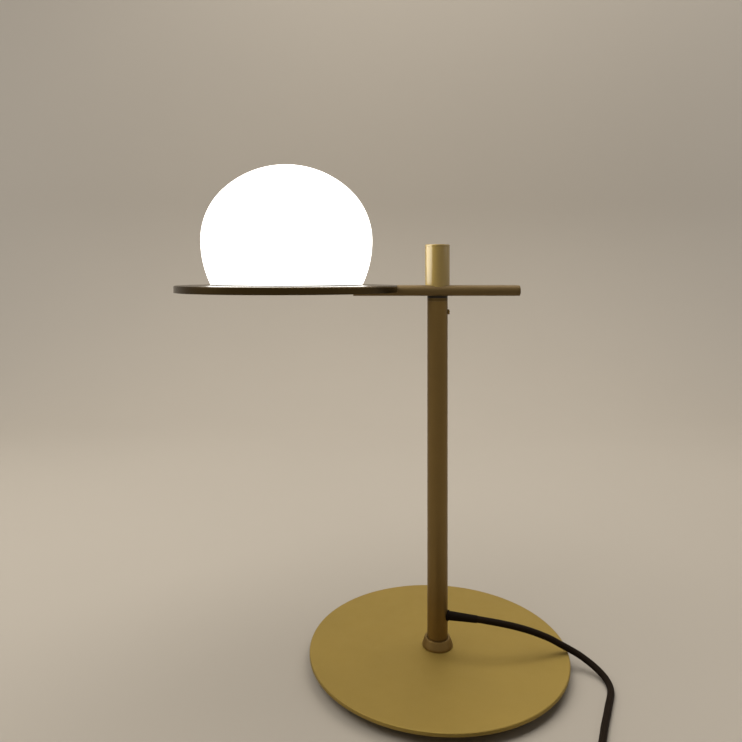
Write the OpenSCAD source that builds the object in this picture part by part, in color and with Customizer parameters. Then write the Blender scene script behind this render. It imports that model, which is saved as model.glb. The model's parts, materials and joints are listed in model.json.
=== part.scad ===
// Table lamp: a round base, a tube post, a flat oval arm that swings on the post and carries
// a saucer with an opal globe, and a mains cord with an in-line switch and a plug.
// Millimetres, Z up. The origin is the centre of the base's resting face.
// The arm reaches along -X to the globe, and its tail along +X.

/* [Base] */
// Diameter of the base plate
base_d = 244; // [225:1:280]
// Thickness of the base plate
base_t = 3; // [2.5:0.5:6]
// Radius of the base plate's top edge
base_edge_r = 0.75; // [0.5:0.25:2]
// Diameter of the ballast disc
ballast_d = 204; // [180:1:216]
// Thickness of the ballast disc
ballast_t = 7; // [5:0.5:10]
// Thickness of the foot pad
pad_t = 2; // [1:0.5:4]
// How far the foot pad's edge stays inside the ballast's edge
pad_inset = 3; // [1:0.5:8]
// Number of ballast screws
ballast_screw_n = 4; // [3:1:6]
// Diameter of the circle of ballast screws
ballast_screw_circle = 150; // [100:1:165]
// Diameter of a ballast screw
ballast_screw_d = 5; // [4:0.5:6]
// Height of a ballast screw's head
ballast_head_h = 3; // [2:0.5:4]

/* [Post] */
// Outer diameter of the post tube
post_d = 19.5; // [18.5:0.5:22]
// Wall of the post tube
post_wall = 1.5; // [1:0.25:2]
// Length of the post tube
post_h = 329.5; // [280:0.5:400]
// Diameter of the collar at the post's foot
collar_d = 29; // [27.5:0.5:36]
// Height of the collar
collar_h = 8.5; // [5:0.5:12]
// Height of the plug inside the post's foot
foot_plug_h = 22; // [14:1:23]
// Diameter of the bolt up into the foot plug
bolt_d = 8; // [6:1:10]
// Diameter of the washer under the bolt's head
washer_d = 26; // [20:1:36]
// Thickness of that washer
washer_t = 2; // [1:0.5:3]

/* [Cord exit] */
// Diameter of the mains cord
cord_d = 6; // [5.6:0.1:6]
// Height of the cord's exit above the base plate
exit_h = 29.5; // [28:0.5:40]
// Diameter of the grommet's flange
grommet_d = 9.6; // [9.2:0.2:12]
// Diameter of the grommet's neck in the post's wall
grommet_neck_d = 8.4; // [7.6:0.2:9]
// How far the grommet stands out from the post
grommet_out = 1.2; // [1:0.2:3]
// Length of the tapered sleeve that keeps the cord from kinking at the post
relief_l = 28; // [20:1:30]
// Diameter of the lead inside the lamp
lead_d = 4; // [3:0.25:4.5]

/* [Swivel] */
// Diameter of the spindle
spindle_d = 12; // [11:0.25:13]
// Bore of the spindle
spindle_bore = 8; // [7:0.25:8.5]
// Length of the spindle inside the post
spindle_l = 26; // [20:0.5:40]
// Length of the bush inside the post
bush_l = 30; // [24:0.5:44]
// Thickness of the swivel washer
swivel_washer_t = 3; // [1.5:0.5:5]
// Thickness of the spindle's flange
flange_t = 2; // [1.5:0.5:4]
// Diameter of the spindle's flange
flange_d = 19.5; // [16:0.5:20]
// Distance of the stop screw below the post's top
stop_drop = 10.5; // [8:0.5:16]
// Diameter of the stop screw
stop_d = 4; // [3.5:0.25:5]
// Diameter of the stop screw's tip
stop_tip_d = 3; // [2:0.25:3.25]
// Diameter of the stop screw's head
stop_head_d = 5; // [4.2:0.2:7]
// How far the stop screw's head stands out
stop_head_h = 1.6; // [1:0.2:4]
// Depth of the stop groove in the spindle
groove_depth = 1.2; // [0.8:0.1:1.3]
// Angle of the wall that ends the stop groove
stop_wall_deg = 20; // [10:1:24]

/* [Arm] */
// Width of the arm's flat oval tube
arm_w = 26; // [24:0.5:34]
// Height of the arm's flat oval tube
arm_t = 10; // [9:0.25:13]
// Wall of the arm's tube
arm_wall = 1.5; // [1:0.25:1.75]
// Distance from the post to the saucer's centre
arm_reach = 143.5; // [130:0.5:190]
// Length of the arm's tail past the post
arm_tail = 77; // [40:0.5:120]
// Thickness of the cap on the arm's tail
end_cap_t = 1.5; // [1:0.25:3]
// Length of that cap's plug inside the tube
end_plug_l = 8; // [4:0.5:14]
// Diameter of the sleeve that keeps the arm from being crushed
sleeve_d = 15.6; // [14.6:0.2:15.8]
// Length of the tongue inside the arm's tube
tongue_grip = 18; // [10:0.5:22]
// How far the arm's lower wall runs on under the saucer
lap_l = 42; // [20:1:80]
// Width of the tongue under the saucer
tongue_w = 18; // [14:0.5:20]

/* [Head] */
// Diameter of the head above the arm
head_d = 23.5; // [20:0.25:24]
// Height of the head with its cap
head_h = 39; // [26:0.5:60]
// Thickness of the head's cap
head_cap_t = 2.5; // [1.5:0.25:5]
// Diameter of the cap's spigot
spigot_d = 17; // [12:0.5:18]
// Length of the cap's spigot
spigot_l = 5; // [3:0.5:8]
// Length of the spindle inside the head
thread_l = 12; // [8:0.5:14]

/* [Saucer] */
// Diameter of the saucer
saucer_d = 210; // [180:1:240]
// Height of the saucer's rim
saucer_h = 6.5; // [5:0.25:9]
// Thickness of the saucer's sheet
saucer_wall = 1.5; // [1:0.25:2]
// Thickness of the saucer's rim
saucer_rim_t = 2.5; // [2:0.25:3.5]
// Radius of the saucer's top edge
saucer_edge_r = 1.2; // [0.4:0.1:1.8]

/* [Globe] */
// Diameter of the globe
globe_d = 162; // [150:1:176]
// How much lower the crown is than a ball's
globe_flat = 9; // [4:0.5:11]
// How far the shoulder's centre lies from the axis
globe_shoulder = 15; // [13:0.5:22]
// Radius of the globe's arc below its widest place
globe_under_r = 99; // [81:1:120]
// Wall of the glass
globe_wall = 3; // [2:0.25:4]
// Height from the globe's mouth to its widest place
globe_drop = 41.5; // [36:0.5:46]
// Thickness of the lip at the globe's mouth
lip_t = 4; // [3.5:0.25:6]
// Height of the lip
lip_h = 8; // [6:0.5:11]
// Thickness of the gasket under the globe
gasket_t = 1; // [0.5:0.25:2]
// Thickness of the ring inside the globe's mouth
ring_t = 1.2; // [0.8:0.1:2]

/* [Light source] */
// Diameter of the light board
board_d = 84; // [80:1:88]
// Thickness of the light board
board_t = 1.6; // [1:0.2:2.4]
// Thickness of the heat pad under the board
heat_pad_t = 0.8; // [0.5:0.1:1.5]
// Side of a light chip
chip_w = 3.5; // [2.5:0.25:4]
// Height of a light chip
chip_h = 0.8; // [0.5:0.1:1.2]
// Number of chips on the inner ring
chip_inner_n = 8; // [4:1:10]
// Radius of the inner ring of chips
chip_inner_r = 16; // [15:0.5:18]
// Number of chips on the outer ring
chip_outer_n = 16; // [8:1:24]
// Radius of the outer ring of chips
chip_outer_r = 34; // [32:0.5:36]
// Distance of the board's screws from its centre
board_screw_r = 25; // [23:0.5:27]
// Height of the terminal block
terminal_h = 6; // [4:0.5:8]

/* [Globe clips] */
// Width of a clip
clip_w = 12; // [8:0.5:16]
// Thickness of a clip's strip
clip_t = 0.8; // [0.5:0.1:1.2]
// Height of a clip
clip_h = 12; // [8:0.5:16]
// Length of a clip's foot
clip_foot = 13; // [11:0.5:14]

/* [Switch] */
// Length of the in-line switch
switch_l = 62; // [58:1:72]
// Width of the in-line switch
switch_w = 26; // [24:0.5:30]
// Height of each half of the switch
switch_half_h = 9; // [8:0.5:11]
// Edge radius of the switch
switch_edge_r = 4; // [2:0.5:6]
// Length of the rocker
rocker_l = 20; // [16:0.5:22]
// Width of the rocker
rocker_w = 11; // [8:0.5:12]
// Diameter of the rocker's pivot
rocker_pin_d = 3; // [2:0.25:3.5]
// How far the rocker tips to each side, in degrees
rocker_tip = 8; // [5:1:10]

/* [Plug] */
// Width of the plug
plug_w = 35; // [34:0.5:38]
// Thickness of the plug
plug_t = 13.6; // [12:0.2:16]
// Length of the plug's body
plug_l = 36; // [32:0.5:42]
// Diameter of a plug pin
pin_d = 4; // [3.8:0.1:4.8]
// Length of a plug pin
pin_l = 19; // [16:0.5:20]
// Distance between the plug's pins
pin_gap = 19; // [17:0.5:20]
// Length of the plug's cord sleeve
cord_sleeve_l = 24; // [20:1:30]

/* [Put-away cord] */
// Least radius of the coil
coil_r = 24; // [22:0.5:30]
// Step from one turn of the coil to the next
coil_pitch = 6.6; // [6.5:0.1:8]
// Step from the coil's lower layer to its upper layer
coil_layer = 6.5; // [6.45:0.05:8]
// Width of the tie's strap
tie_w = 12; // [8:0.5:16]
// Thickness of the tie's strap
tie_t = 1.2; // [0.8:0.1:1.4]

/* [Hidden] */
$fn = 72;

// Clearances: a turning fit, a bonded or pressed fit, and plain room between parts
turn_gap = 0.05;
bond_gap = 0.05;
slack = 0.3;
// A screw's head or washer lies this close to its seat
seat_gap = 0.1;
// A cut reaches this far past the face that it opens
past = 1;

// Heights, from the resting face up
plate_under = pad_t + ballast_t;
base_top = plate_under + base_t;
post_top = base_top + post_h;
plug_top = base_top + foot_plug_h;
exit_z = base_top + exit_h;
stop_z = post_top - stop_drop;
spindle_z = post_top - spindle_l;
flange_z = post_top + swivel_washer_t;
arm_under = flange_z + flange_t;
arm_axis = arm_under + arm_t / 2;
arm_top = arm_under + arm_t;
head_top = arm_top + head_h;
sheet_under = arm_top - saucer_wall;
mouth_z = arm_top + gasket_t;
globe_z = mouth_z + globe_drop;
board_z = arm_top + heat_pad_t;
board_top = board_z + board_t;

// Base fittings
base_r = base_d / 2;
bolt_head_d = bolt_d + 6;
bolt_head_h = ballast_t - washer_t;
bolt_bite = foot_plug_h - 5;
bolt_shank_z = pad_t + bolt_head_h / 2;
hex_key_d = 0.8 * bolt_d;
ballast_bore_d = washer_d + 6;
ballast_head_d = 1.8 * ballast_screw_d;
ballast_screw_turn = 45;
plate_bite = 0.75 * base_t;

// Post fittings
post_inner_d = post_d - 2 * post_wall;
collar_top_d = post_d + 4.5;
collar_foot_h = 1.5;
exit_turn = -15;
relief_tip_d = cord_d + 0.6;
relief_past = 1.5;
anchor_roof = 5;
lead_room = 0.5;

// Swivel
groove_w = stop_tip_d + 1.6;
spindle_r = spindle_d / 2;
window_w = lead_d + 1.2;

// Arm and saucer
inner_w = arm_w - 2 * arm_wall;
inner_t = arm_t - 2 * arm_wall;
saucer_x = -arm_reach;
saucer_r = saucer_d / 2;
arm_end_x = saucer_x + saucer_r + bond_gap;
lap_top = arm_top - saucer_h - bond_gap;
bend_r = 6;
lead_hole_d = lead_d + 5;
screw_d = 3;
screw_head_d = 5.4;
screw_head_h = 1.8;
screw_bite = 4;
tongue_screw_r = board_d / 2 + 7;
tongue_past = tongue_screw_r + 6;
tongue_under = arm_under + arm_wall + bond_gap;
channel_w = lead_d + 1;

// Globe: below its widest place it is one arc, above it a shoulder arc runs into a crown arc
globe_r = globe_d / 2;
globe_rise = globe_r - globe_flat;
shoulder_r = globe_r - globe_shoulder;
crown_r = (pow(globe_shoulder, 2) + pow(globe_rise, 2) - pow(shoulder_r, 2))
    / (2 * (globe_rise - shoulder_r));
crown_z = globe_rise - crown_r;
under_x = globe_r - globe_under_r;
mouth_r = under_x + sqrt(pow(globe_under_r, 2) - pow(globe_drop, 2));
lip_r = mouth_r - lip_t;
ring_r = lip_r - bond_gap;
clip_r = ring_r - ring_t - slack;
clip_n = 3;
clip_turn = 90;
clip_bulge = 0.8;
clip_screw_r = clip_r - clip_foot / 2 - 2;

// Light source
terminal_l = 12;
terminal_w = 9;
board_screw_n = 3;
board_screw_turn = 30;

// Switch, lying along X
switch_x = 0.335 * base_r;
switch_y = -1.246 * base_r;
switch_z = switch_half_h;
switch_bite = 9;
switch_floor = 4;
switch_top = 2 * switch_half_h;
switch_cavity = [switch_l - 2 * switch_bite, rocker_w, switch_half_h - switch_floor];
rocker_down = 3;
rocker_z = switch_top - rocker_down - 1;
rocker_up = 3.5;
rocker_dip = 1.6;
rocker_pin_l = rocker_w + 6;
rocker_foot = rocker_l / 5;
rocker_pocket_l = 2 * (norm([rocker_l / 2, rocker_up]) + slack);
contact_t = 0.8;
contact_w = 6;
contact_block_h = 3;
contact_block_x = switch_cavity[0] / 2 - contact_w / 2 - slack;
switch_screw_d = 2.5;
switch_screw_head_d = 4.4;
switch_screw_head_h = 2;
switch_screw_x = (switch_l - switch_w) / 2;
switch_screw_y = rocker_w / 2 + slack + switch_screw_d;

// Coil: it spirals in on the lower layer, climbs in a half turn, and spirals out on the upper one
coil_start = 90;
coil_mid = 1260;
coil_end = 2460;
coil_step = 15;
coil_climb = 90;
coil_sides = 6;
coil_out_r = coil_r + coil_pitch * (coil_mid - coil_start) / 360;
coil_off = 35;
coil_x = switch_x - switch_l / 2 - coil_off;
coil_y = switch_y - coil_out_r;
coil_z = tie_t + slack + cord_d / 2;
coil_angles = [for (a = [coil_start:coil_step:coil_end]) a];
coil_path = concat(
    [coil_point(coil_start) - cord_d * coil_heading(coil_start)],
    [for (a = coil_angles) coil_point(a)],
    [coil_point(coil_end) + cord_d * coil_heading(coil_end)]);
coil_first = coil_path[0];
coil_last = coil_path[len(coil_path) - 1];
coil_turn = coil_end + 90;
tie_room_in = 1.3;
tie_room_out = 0.5;
tie_row_in = 0.5;
tie_row_out = 2.5;
tie_r_in = coil_r + tie_row_in * coil_pitch - cord_d / 2 - tie_room_in;
tie_r_out = coil_r + tie_row_out * coil_pitch + cord_d / 2 + tie_room_out;
tie_inner_h = cord_d + coil_layer + 2 * slack;

// Plug, lying in line with the coil's upper end
tail_l = 30;
plug_z = plug_t / 2;
tail_end = coil_last + tail_l * coil_heading(coil_end);
plug_at = [tail_end[0], tail_end[1], plug_z];
sleeve_thin_d = cord_d + 2;
sleeve_thick_d = cord_d + 5;
sleeve_rib_n = 5;
sleeve_rib_w = 1.2;
sleeve_grip = 8;
body_neck_w = plug_w / 2;
body_taper_l = 13;
body_chamfer = 2;
pin_root = 6;

// Route of the cord from the anchor in the post to the switch. It hangs from the post to the base's
// rim, falls to the floor and rises to the switch; places are shares of the base's radius, and
// heights are shares of the drop or of the rise.
cord_sides = 10;
rim_gap = 0.1;
rim_z = base_top + cord_d / 2 + rim_gap;
floor_z = cord_d / 2;
hang = [
    [0.369, -0.095, 0.981], [0.451, -0.105, 0.936], [0.533, -0.109, 0.867], [0.615, -0.11, 0.777],
    [0.697, -0.108, 0.663], [0.779, -0.106, 0.523], [0.861, -0.103, 0.356], [0.943, -0.102, 0.148],
    [1.005, -0.107, 0]];
fall = [
    [1.066, -0.131, 0.736], [1.123, -0.178, 0.488], [1.172, -0.242, 0.264], [1.202, -0.316, 0.1],
    [1.207, -0.393, 0.02], [1.19, -0.471, 0], [1.157, -0.545, 0], [1.12, -0.619, 0], [1.085, -0.693, 0],
    [1.049, -0.766, 0], [1.011, -0.844, 0], [0.974, -0.926, 0]];
rise = [
    [0.939, -1, 0.03], [0.896, -1.074, 0.17], [0.844, -1.143, 0.43], [0.779, -1.202, 0.73],
    [0.705, -1.237, 0.95]];
run_points = concat(
    [for (r = [lead_d / 2 + lead_room, post_d / 2, post_d / 2 + relief_l + relief_past]) exit_place(r)],
    [for (p = hang) cord_place(p, rim_z, exit_z)],
    [for (p = fall) cord_place(p, floor_z, rim_z)],
    [for (p = rise) cord_place(p, floor_z, switch_z)],
    [[switch_x + switch_l / 2 + cord_d, switch_y, switch_z],
     [switch_x + switch_l / 2 - switch_bite, switch_y, switch_z]]);
// Route of the cord from the switch down into the coil, by shares of the way and of the drop
dip = [[0.3, 0.25], [0.6, 0.8], [0.85, 1]];
link_from = [switch_x - switch_l / 2 - cord_d, switch_y, switch_z];
link_points = concat(
    [[switch_x - switch_l / 2 + switch_bite, switch_y, switch_z], link_from],
    [for (p = dip) [
        link_from[0] + p[0] * (coil_first[0] - link_from[0]),
        switch_y,
        switch_z + p[1] * (coil_z - switch_z)]],
    [coil_first]);
// Route of the cord from the coil down to the plug
tail_out = coil_heading(coil_end);
tail_from = coil_last + cord_d * tail_out;
tail_to = plug_at - cord_d * tail_out;
tail_points = [coil_last, tail_from, (tail_from + tail_to) / 2, tail_to, plug_at + sleeve_grip * tail_out];

// A place on the axis of the cord's exit, at a distance from the post's axis
function exit_place(r) = [r * cos(exit_turn), r * sin(exit_turn), exit_z];
// A place on the cord's route, its height taken between a low and a high end
function cord_place(p, low, high) = [p[0] * base_r, p[1] * base_r, low + p[2] * (high - low)];

// Radius of the coil at an angle, from its outer end
function coil_radius(a) = coil_r + coil_pitch * abs(coil_mid - a) / 360;
// Share of the climb to the upper layer at an angle
function coil_rise(a) = max(0, min(1, (a - coil_mid + coil_climb) / (2 * coil_climb)));
function coil_point(a) = [
    coil_x + coil_radius(a) * cos(a),
    coil_y + coil_radius(a) * sin(a),
    coil_z + coil_layer * coil_rise(a)];
function coil_heading(a) = [-sin(a), cos(a), 0];

// Least clear distance between turns of the coil, measured along its path
coil_half_loop = 180 / coil_step;
coil_gap = min([for (i = [0:len(coil_path) - 1])
    for (j = [i + coil_half_loop:1:len(coil_path) - 1])
        norm(coil_path[i] - coil_path[j])]) - cord_d;
echo("least gap between the coil's turns", coil_gap);

// A tube swept along points, closed at both ends
function unit(v) = v / norm(v);
function heading(p, i) = unit(p[min(i + 1, len(p) - 1)] - p[max(i - 1, 0)]);
function sideways(t) = unit(cross([0, 0, 1], t));
function ring_of(p, i, r, n) =
    let (t = heading(p, i), u = sideways(t), w = cross(t, u))
    [for (k = [0:n - 1]) p[i] + r * (cos(360 * k / n) * u + sin(360 * k / n) * w)];

module swept_tube(path, d, sides) {
    last = len(path) - 1;
    rings = [for (i = [0:last]) each ring_of(path, i, d / 2, sides)];
    walls = [for (i = [0:last - 1]) for (k = [0:sides - 1])
        let (a = i * sides + k, b = i * sides + (k + 1) % sides)
        each [[a, b + sides, b], [a, a + sides, b + sides]]];
    near = [for (k = [1:sides - 2]) [0, k, k + 1]];
    far = [for (k = [1:sides - 2]) [last * sides, last * sides + k + 1, last * sides + k]];
    polyhedron(points = rings, faces = concat(walls, near, far));
}

// A flat oval, centred
module oval(w, t) {
    square([w - t, t], center = true);
    for (side = [-1, 1]) translate([side * (w - t) / 2, 0]) circle(d = t);
}

// Children drawn in the YZ plane, extruded along X from x0 to x1
module along_x(x0, x1) {
    translate([x0, 0, 0]) rotate([90, 0, 90]) linear_extrude(x1 - x0) children();
}

// Children repeated on a circle
module on_circle(n, r, turn = 0) {
    for (i = [0:n - 1]) rotate([0, 0, turn + 360 * i / n]) translate([r, 0, 0]) children();
}

// A disc with a rounded top edge, as a half section
module edged_section(r, h, edge_r) {
    square([r - edge_r, h]);
    square([r, h - edge_r]);
    translate([r - edge_r, h - edge_r]) intersection() {
        circle(edge_r);
        square(edge_r);
    }
}

// A screw with its head up, its seat at z = 0
module pan_screw(d, head_d, head_h, length) {
    translate([0, 0, -length]) cylinder(d = d, h = length + past / 2);
    rotate_extrude() edged_section(head_d / 2, head_h, head_h / 2);
}

module ballast_screw_places()
    on_circle(ballast_screw_n, ballast_screw_circle / 2, ballast_screw_turn) children();

module base_plate() color("#8f7740") difference() {
    translate([0, 0, plate_under]) rotate_extrude() edged_section(base_r, base_t, base_edge_r);
    translate([0, 0, plate_under - past]) cylinder(d = bolt_d + 2 * slack, h = base_t + 2 * past);
    ballast_screw_places()
        translate([0, 0, plate_under - past])
            cylinder(d = ballast_screw_d + 2 * bond_gap, h = plate_bite + past);
}

module ballast() color("#3a3a3c") difference() {
    translate([0, 0, pad_t]) cylinder(d = ballast_d, h = ballast_t);
    translate([0, 0, pad_t - past]) cylinder(d = ballast_bore_d, h = ballast_t + 2 * past);
    ballast_screw_places() {
        translate([0, 0, pad_t - past]) cylinder(d = ballast_screw_d + 2 * slack, h = ballast_t + 2 * past);
        translate([0, 0, pad_t - past]) cylinder(d = ballast_head_d + 2 * slack, h = ballast_head_h + past);
    }
}

module foot_pad() color("#202022") cylinder(d = ballast_d - 2 * pad_inset, h = pad_t);

module ballast_screws() color("#b9bbbe") ballast_screw_places()
    translate([0, 0, pad_t]) {
        cylinder(d = ballast_head_d, h = ballast_head_h);
        cylinder(d = ballast_screw_d, h = ballast_t + plate_bite);
    }

module post_bolt() color("#b9bbbe") {
    translate([0, 0, pad_t]) difference() {
        cylinder(d = bolt_head_d, h = bolt_head_h);
        translate([0, 0, -past]) cylinder(d = hex_key_d, h = bolt_head_h / 2 + past, $fn = 6);
    }
    translate([0, 0, bolt_shank_z]) cylinder(d = bolt_d, h = base_top + bolt_bite - bolt_shank_z);
}

module bolt_washer() color("#b9bbbe") difference() {
    translate([0, 0, plate_under - washer_t]) cylinder(d = washer_d, h = washer_t);
    translate([0, 0, plate_under - washer_t - past])
        cylinder(d = bolt_d + 2 * slack, h = washer_t + 2 * past);
}

module foot_plug() color("#b08d3c") difference() {
    translate([0, 0, base_top]) cylinder(d = post_inner_d - 2 * bond_gap, h = foot_plug_h);
    translate([0, 0, base_top - past]) cylinder(d = bolt_d + 2 * bond_gap, h = bolt_bite + past + slack);
}

module foot_collar() color("#5c4522") difference() {
    union() {
        translate([0, 0, base_top]) cylinder(d = collar_d, h = collar_foot_h);
        translate([0, 0, base_top + collar_foot_h])
            cylinder(d1 = collar_d, d2 = collar_top_d, h = collar_h - collar_foot_h);
    }
    translate([0, 0, base_top - past]) cylinder(d = post_d + 2 * bond_gap, h = collar_h + 2 * past);
}

// Children drawn along Z, laid on the axis of the cord's exit
module at_exit() translate([0, 0, exit_z]) rotate([0, 90, exit_turn]) children();

module post_tube() color("#5f4724") difference() {
    translate([0, 0, base_top]) cylinder(d = post_d, h = post_h);
    translate([0, 0, base_top - past]) cylinder(d = post_inner_d, h = post_h + 2 * past);
    at_exit() cylinder(d = grommet_neck_d + 2 * bond_gap, h = post_d);
    translate([0, 0, stop_z]) rotate([0, 90, 0]) cylinder(d = stop_d + 2 * bond_gap, h = post_d);
}

module cord_grommet() color("#1c1712") difference() {
    at_exit() {
        cylinder(d = grommet_neck_d, h = post_d / 2 + grommet_out / 2);
        translate([0, 0, post_d / 2 + grommet_out / 2])
            cylinder(d1 = grommet_neck_d, d2 = relief_tip_d, h = relief_l - grommet_out / 2);
        difference() {
            cylinder(d = grommet_d, h = post_d / 2 + grommet_out);
            translate([-post_d, 0, 0]) rotate([0, 90, 0])
                cylinder(d = post_d + 2 * bond_gap, h = 2 * post_d);
        }
    }
    translate([0, 0, exit_z - grommet_d]) cylinder(d = post_inner_d, h = 2 * grommet_d);
    at_exit() cylinder(d = cord_d + 2 * bond_gap, h = post_d / 2 + relief_l + past);
}

module cord_anchor() color("#2a2a2c") difference() {
    translate([0, 0, plug_top])
        cylinder(d = post_inner_d - 2 * bond_gap, h = exit_z + cord_d / 2 + anchor_roof - plug_top);
    at_exit() cylinder(d = cord_d + 2 * bond_gap, h = post_d);
    translate([0, 0, exit_z - lead_d / 2]) cylinder(d = lead_d + 2 * bond_gap, h = post_d);
}

module post_lead() color("#d8d4c8")
    translate([0, 0, exit_z - lead_d / 2])
        cylinder(d = lead_d, h = spindle_z - slack - exit_z + lead_d / 2);

module swivel_bush() color("#b08d3c") difference() {
    translate([0, 0, post_top - bush_l]) cylinder(d = post_inner_d - 2 * bond_gap, h = bush_l);
    translate([0, 0, post_top - bush_l - past])
        cylinder(d = spindle_d + 2 * turn_gap, h = bush_l + 2 * past);
    translate([0, 0, stop_z]) rotate([0, 90, 0]) cylinder(d = stop_d + 2 * bond_gap, h = post_d);
}

module swivel_washer() color("#17150f") difference() {
    translate([0, 0, post_top]) cylinder(d = post_d, h = swivel_washer_t);
    translate([0, 0, post_top - past]) cylinder(d = spindle_d + 2 * slack, h = swivel_washer_t + 2 * past);
}

module stop_screw() color("#4a391d") translate([0, 0, stop_z]) rotate([0, 90, 0]) {
    translate([0, 0, spindle_r - groove_depth + slack])
        cylinder(d = stop_tip_d, h = post_d / 2 - spindle_r);
    translate([0, 0, spindle_r + slack]) cylinder(d = stop_d, h = post_d / 2 - spindle_r);
    translate([0, 0, post_d / 2 + seat_gap])
        rotate_extrude() edged_section(stop_head_d / 2, stop_head_h, stop_head_h / 3);
}

module spindle() color("#2b2418") difference() {
    union() {
        translate([0, 0, spindle_z]) cylinder(d = spindle_d, h = arm_top + thread_l - spindle_z);
        translate([0, 0, flange_z]) cylinder(d = flange_d, h = flange_t);
    }
    translate([0, 0, spindle_z - past])
        cylinder(d = spindle_bore, h = arm_top + thread_l - spindle_z + 2 * past);
    translate([0, 0, stop_z - groove_w / 2]) rotate([0, 0, 180 + stop_wall_deg / 2])
        rotate_extrude(angle = 360 - stop_wall_deg)
            translate([spindle_r - groove_depth, 0]) square([groove_depth + past, groove_w]);
    translate([-spindle_d, -window_w / 2, arm_under + arm_wall])
        cube([spindle_d, window_w, inner_t]);
}

module arm_sleeve() color("#8e9094") difference() {
    translate([0, 0, arm_under + arm_wall]) cylinder(d = sleeve_d, h = inner_t);
    translate([0, 0, arm_under]) cylinder(d = spindle_d + 2 * bond_gap, h = arm_t);
    translate([-sleeve_d, -window_w / 2, arm_under]) cube([sleeve_d, window_w, arm_t]);
}

// The arm's tube is cut down to its lower wall where it runs on under the saucer
module arm_tube() color("#65502c") difference() {
    translate([0, 0, arm_axis]) along_x(arm_end_x - lap_l, arm_tail - end_cap_t) difference() {
        oval(arm_w, arm_t);
        oval(inner_w, inner_t);
    }
    translate([saucer_x, 0, lap_top]) cylinder(r = saucer_r + bond_gap, h = arm_t);
    translate([0, 0, arm_under - past]) cylinder(d = spindle_d + 2 * bond_gap, h = arm_t + 2 * past);
}

module arm_end_cap() color("#5f4a28") translate([0, 0, arm_axis]) {
    along_x(arm_tail - end_cap_t, arm_tail) oval(arm_w, arm_t);
    along_x(arm_tail - end_cap_t - end_plug_l, arm_tail - end_cap_t / 2)
        oval(inner_w - 2 * bond_gap, inner_t - 2 * bond_gap);
}

module arm_tongue() color("#8e9094") difference() {
    union() {
        translate([0, 0, arm_axis]) along_x(arm_end_x, arm_end_x + tongue_grip)
            intersection() {
                oval(inner_w - 2 * bond_gap, inner_t - 2 * bond_gap);
                translate([-arm_w / 2, -arm_t]) square([arm_w, sheet_under - arm_axis + arm_t]);
            }
        translate([saucer_x - tongue_past, -tongue_w / 2, tongue_under])
            cube([arm_end_x - saucer_x + tongue_past, tongue_w, sheet_under - tongue_under]);
    }
    translate([saucer_x - lead_hole_d / 2, -channel_w / 2, arm_axis - lead_d / 2 - bond_gap])
        cube([arm_end_x - saucer_x + tongue_grip + lead_hole_d, channel_w, arm_t]);
    tongue_screw_places()
        translate([0, 0, sheet_under - screw_bite])
            cylinder(d = screw_d + 2 * bond_gap, h = screw_bite + past);
}

// One tongue screw stands beside the lead's channel, the other past its end
module tongue_screw_places() for (side = [-1, 1])
    translate([saucer_x + side * tongue_screw_r, side > 0 ? channel_w / 2 + screw_d : 0, 0]) children();

module tongue_screws() color("#b9bbbe") tongue_screw_places()
    translate([0, 0, arm_top])
        pan_screw(screw_d, screw_head_d, screw_head_h, saucer_wall + screw_bite - slack);

// The lead from the spindle, along the arm and up to the light board
module arm_lead() color("#d8d4c8") {
    translate([0, 0, spindle_z]) cylinder(d = lead_d, h = arm_axis - bend_r - spindle_z);
    translate([-bend_r, 0, arm_axis - bend_r]) rotate([90, 0, 0])
        rotate_extrude(angle = 90) translate([bend_r, 0]) circle(d = lead_d);
    translate([saucer_x + bend_r, 0, arm_axis]) rotate([0, 90, 0])
        cylinder(d = lead_d, h = -saucer_x - 2 * bend_r);
    translate([saucer_x + bend_r, 0, arm_axis + bend_r]) rotate([90, 0, 0])
        rotate([0, 0, 180]) rotate_extrude(angle = 90) translate([bend_r, 0]) circle(d = lead_d);
    translate([saucer_x, 0, arm_axis + bend_r]) cylinder(d = lead_d, h = board_top - arm_axis - bend_r);
}

module head() color("#7d6330") difference() {
    translate([0, 0, arm_axis]) cylinder(d = head_d, h = head_top - head_cap_t - arm_axis);
    translate([0, 0, arm_axis]) along_x(-head_d, head_d) oval(arm_w + 2 * bond_gap, arm_t);
    translate([0, 0, arm_axis]) cylinder(d = spindle_d + 2 * bond_gap, h = arm_t / 2 + thread_l + slack);
    translate([0, 0, head_top - head_cap_t - spigot_l - slack])
        cylinder(d = spigot_d + 2 * bond_gap, h = spigot_l + slack + past);
}

module head_cap() color("#86703a") translate([0, 0, head_top - head_cap_t]) {
    rotate_extrude() edged_section(head_d / 2, head_cap_t, head_cap_t / 3);
    translate([0, 0, -spigot_l]) cylinder(d = spigot_d, h = spigot_l + head_cap_t / 2);
}

module saucer() color("#4b3a1e") difference() {
    translate([saucer_x, 0, arm_top - saucer_h]) rotate_extrude() difference() {
        edged_section(saucer_r, saucer_h, saucer_edge_r);
        translate([-past, -past])
            square([saucer_r - saucer_rim_t + past, saucer_h - saucer_wall + past]);
    }
    translate([saucer_x, -tongue_w / 2 - bond_gap, arm_under])
        cube([saucer_d, tongue_w + 2 * bond_gap, sheet_under - arm_under]);
    translate([saucer_x, 0, sheet_under - past]) cylinder(d = lead_hole_d, h = saucer_wall + 2 * past);
    translate([0, 0, sheet_under - past]) {
        tongue_screw_places() cylinder(d = screw_d + 2 * bond_gap, h = saucer_wall + 2 * past);
        board_screw_places() cylinder(d = screw_d + 2 * bond_gap, h = saucer_wall + 2 * past);
        clip_places(clip_screw_r) cylinder(d = screw_d + 2 * bond_gap, h = saucer_wall + 2 * past);
    }
}

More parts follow.
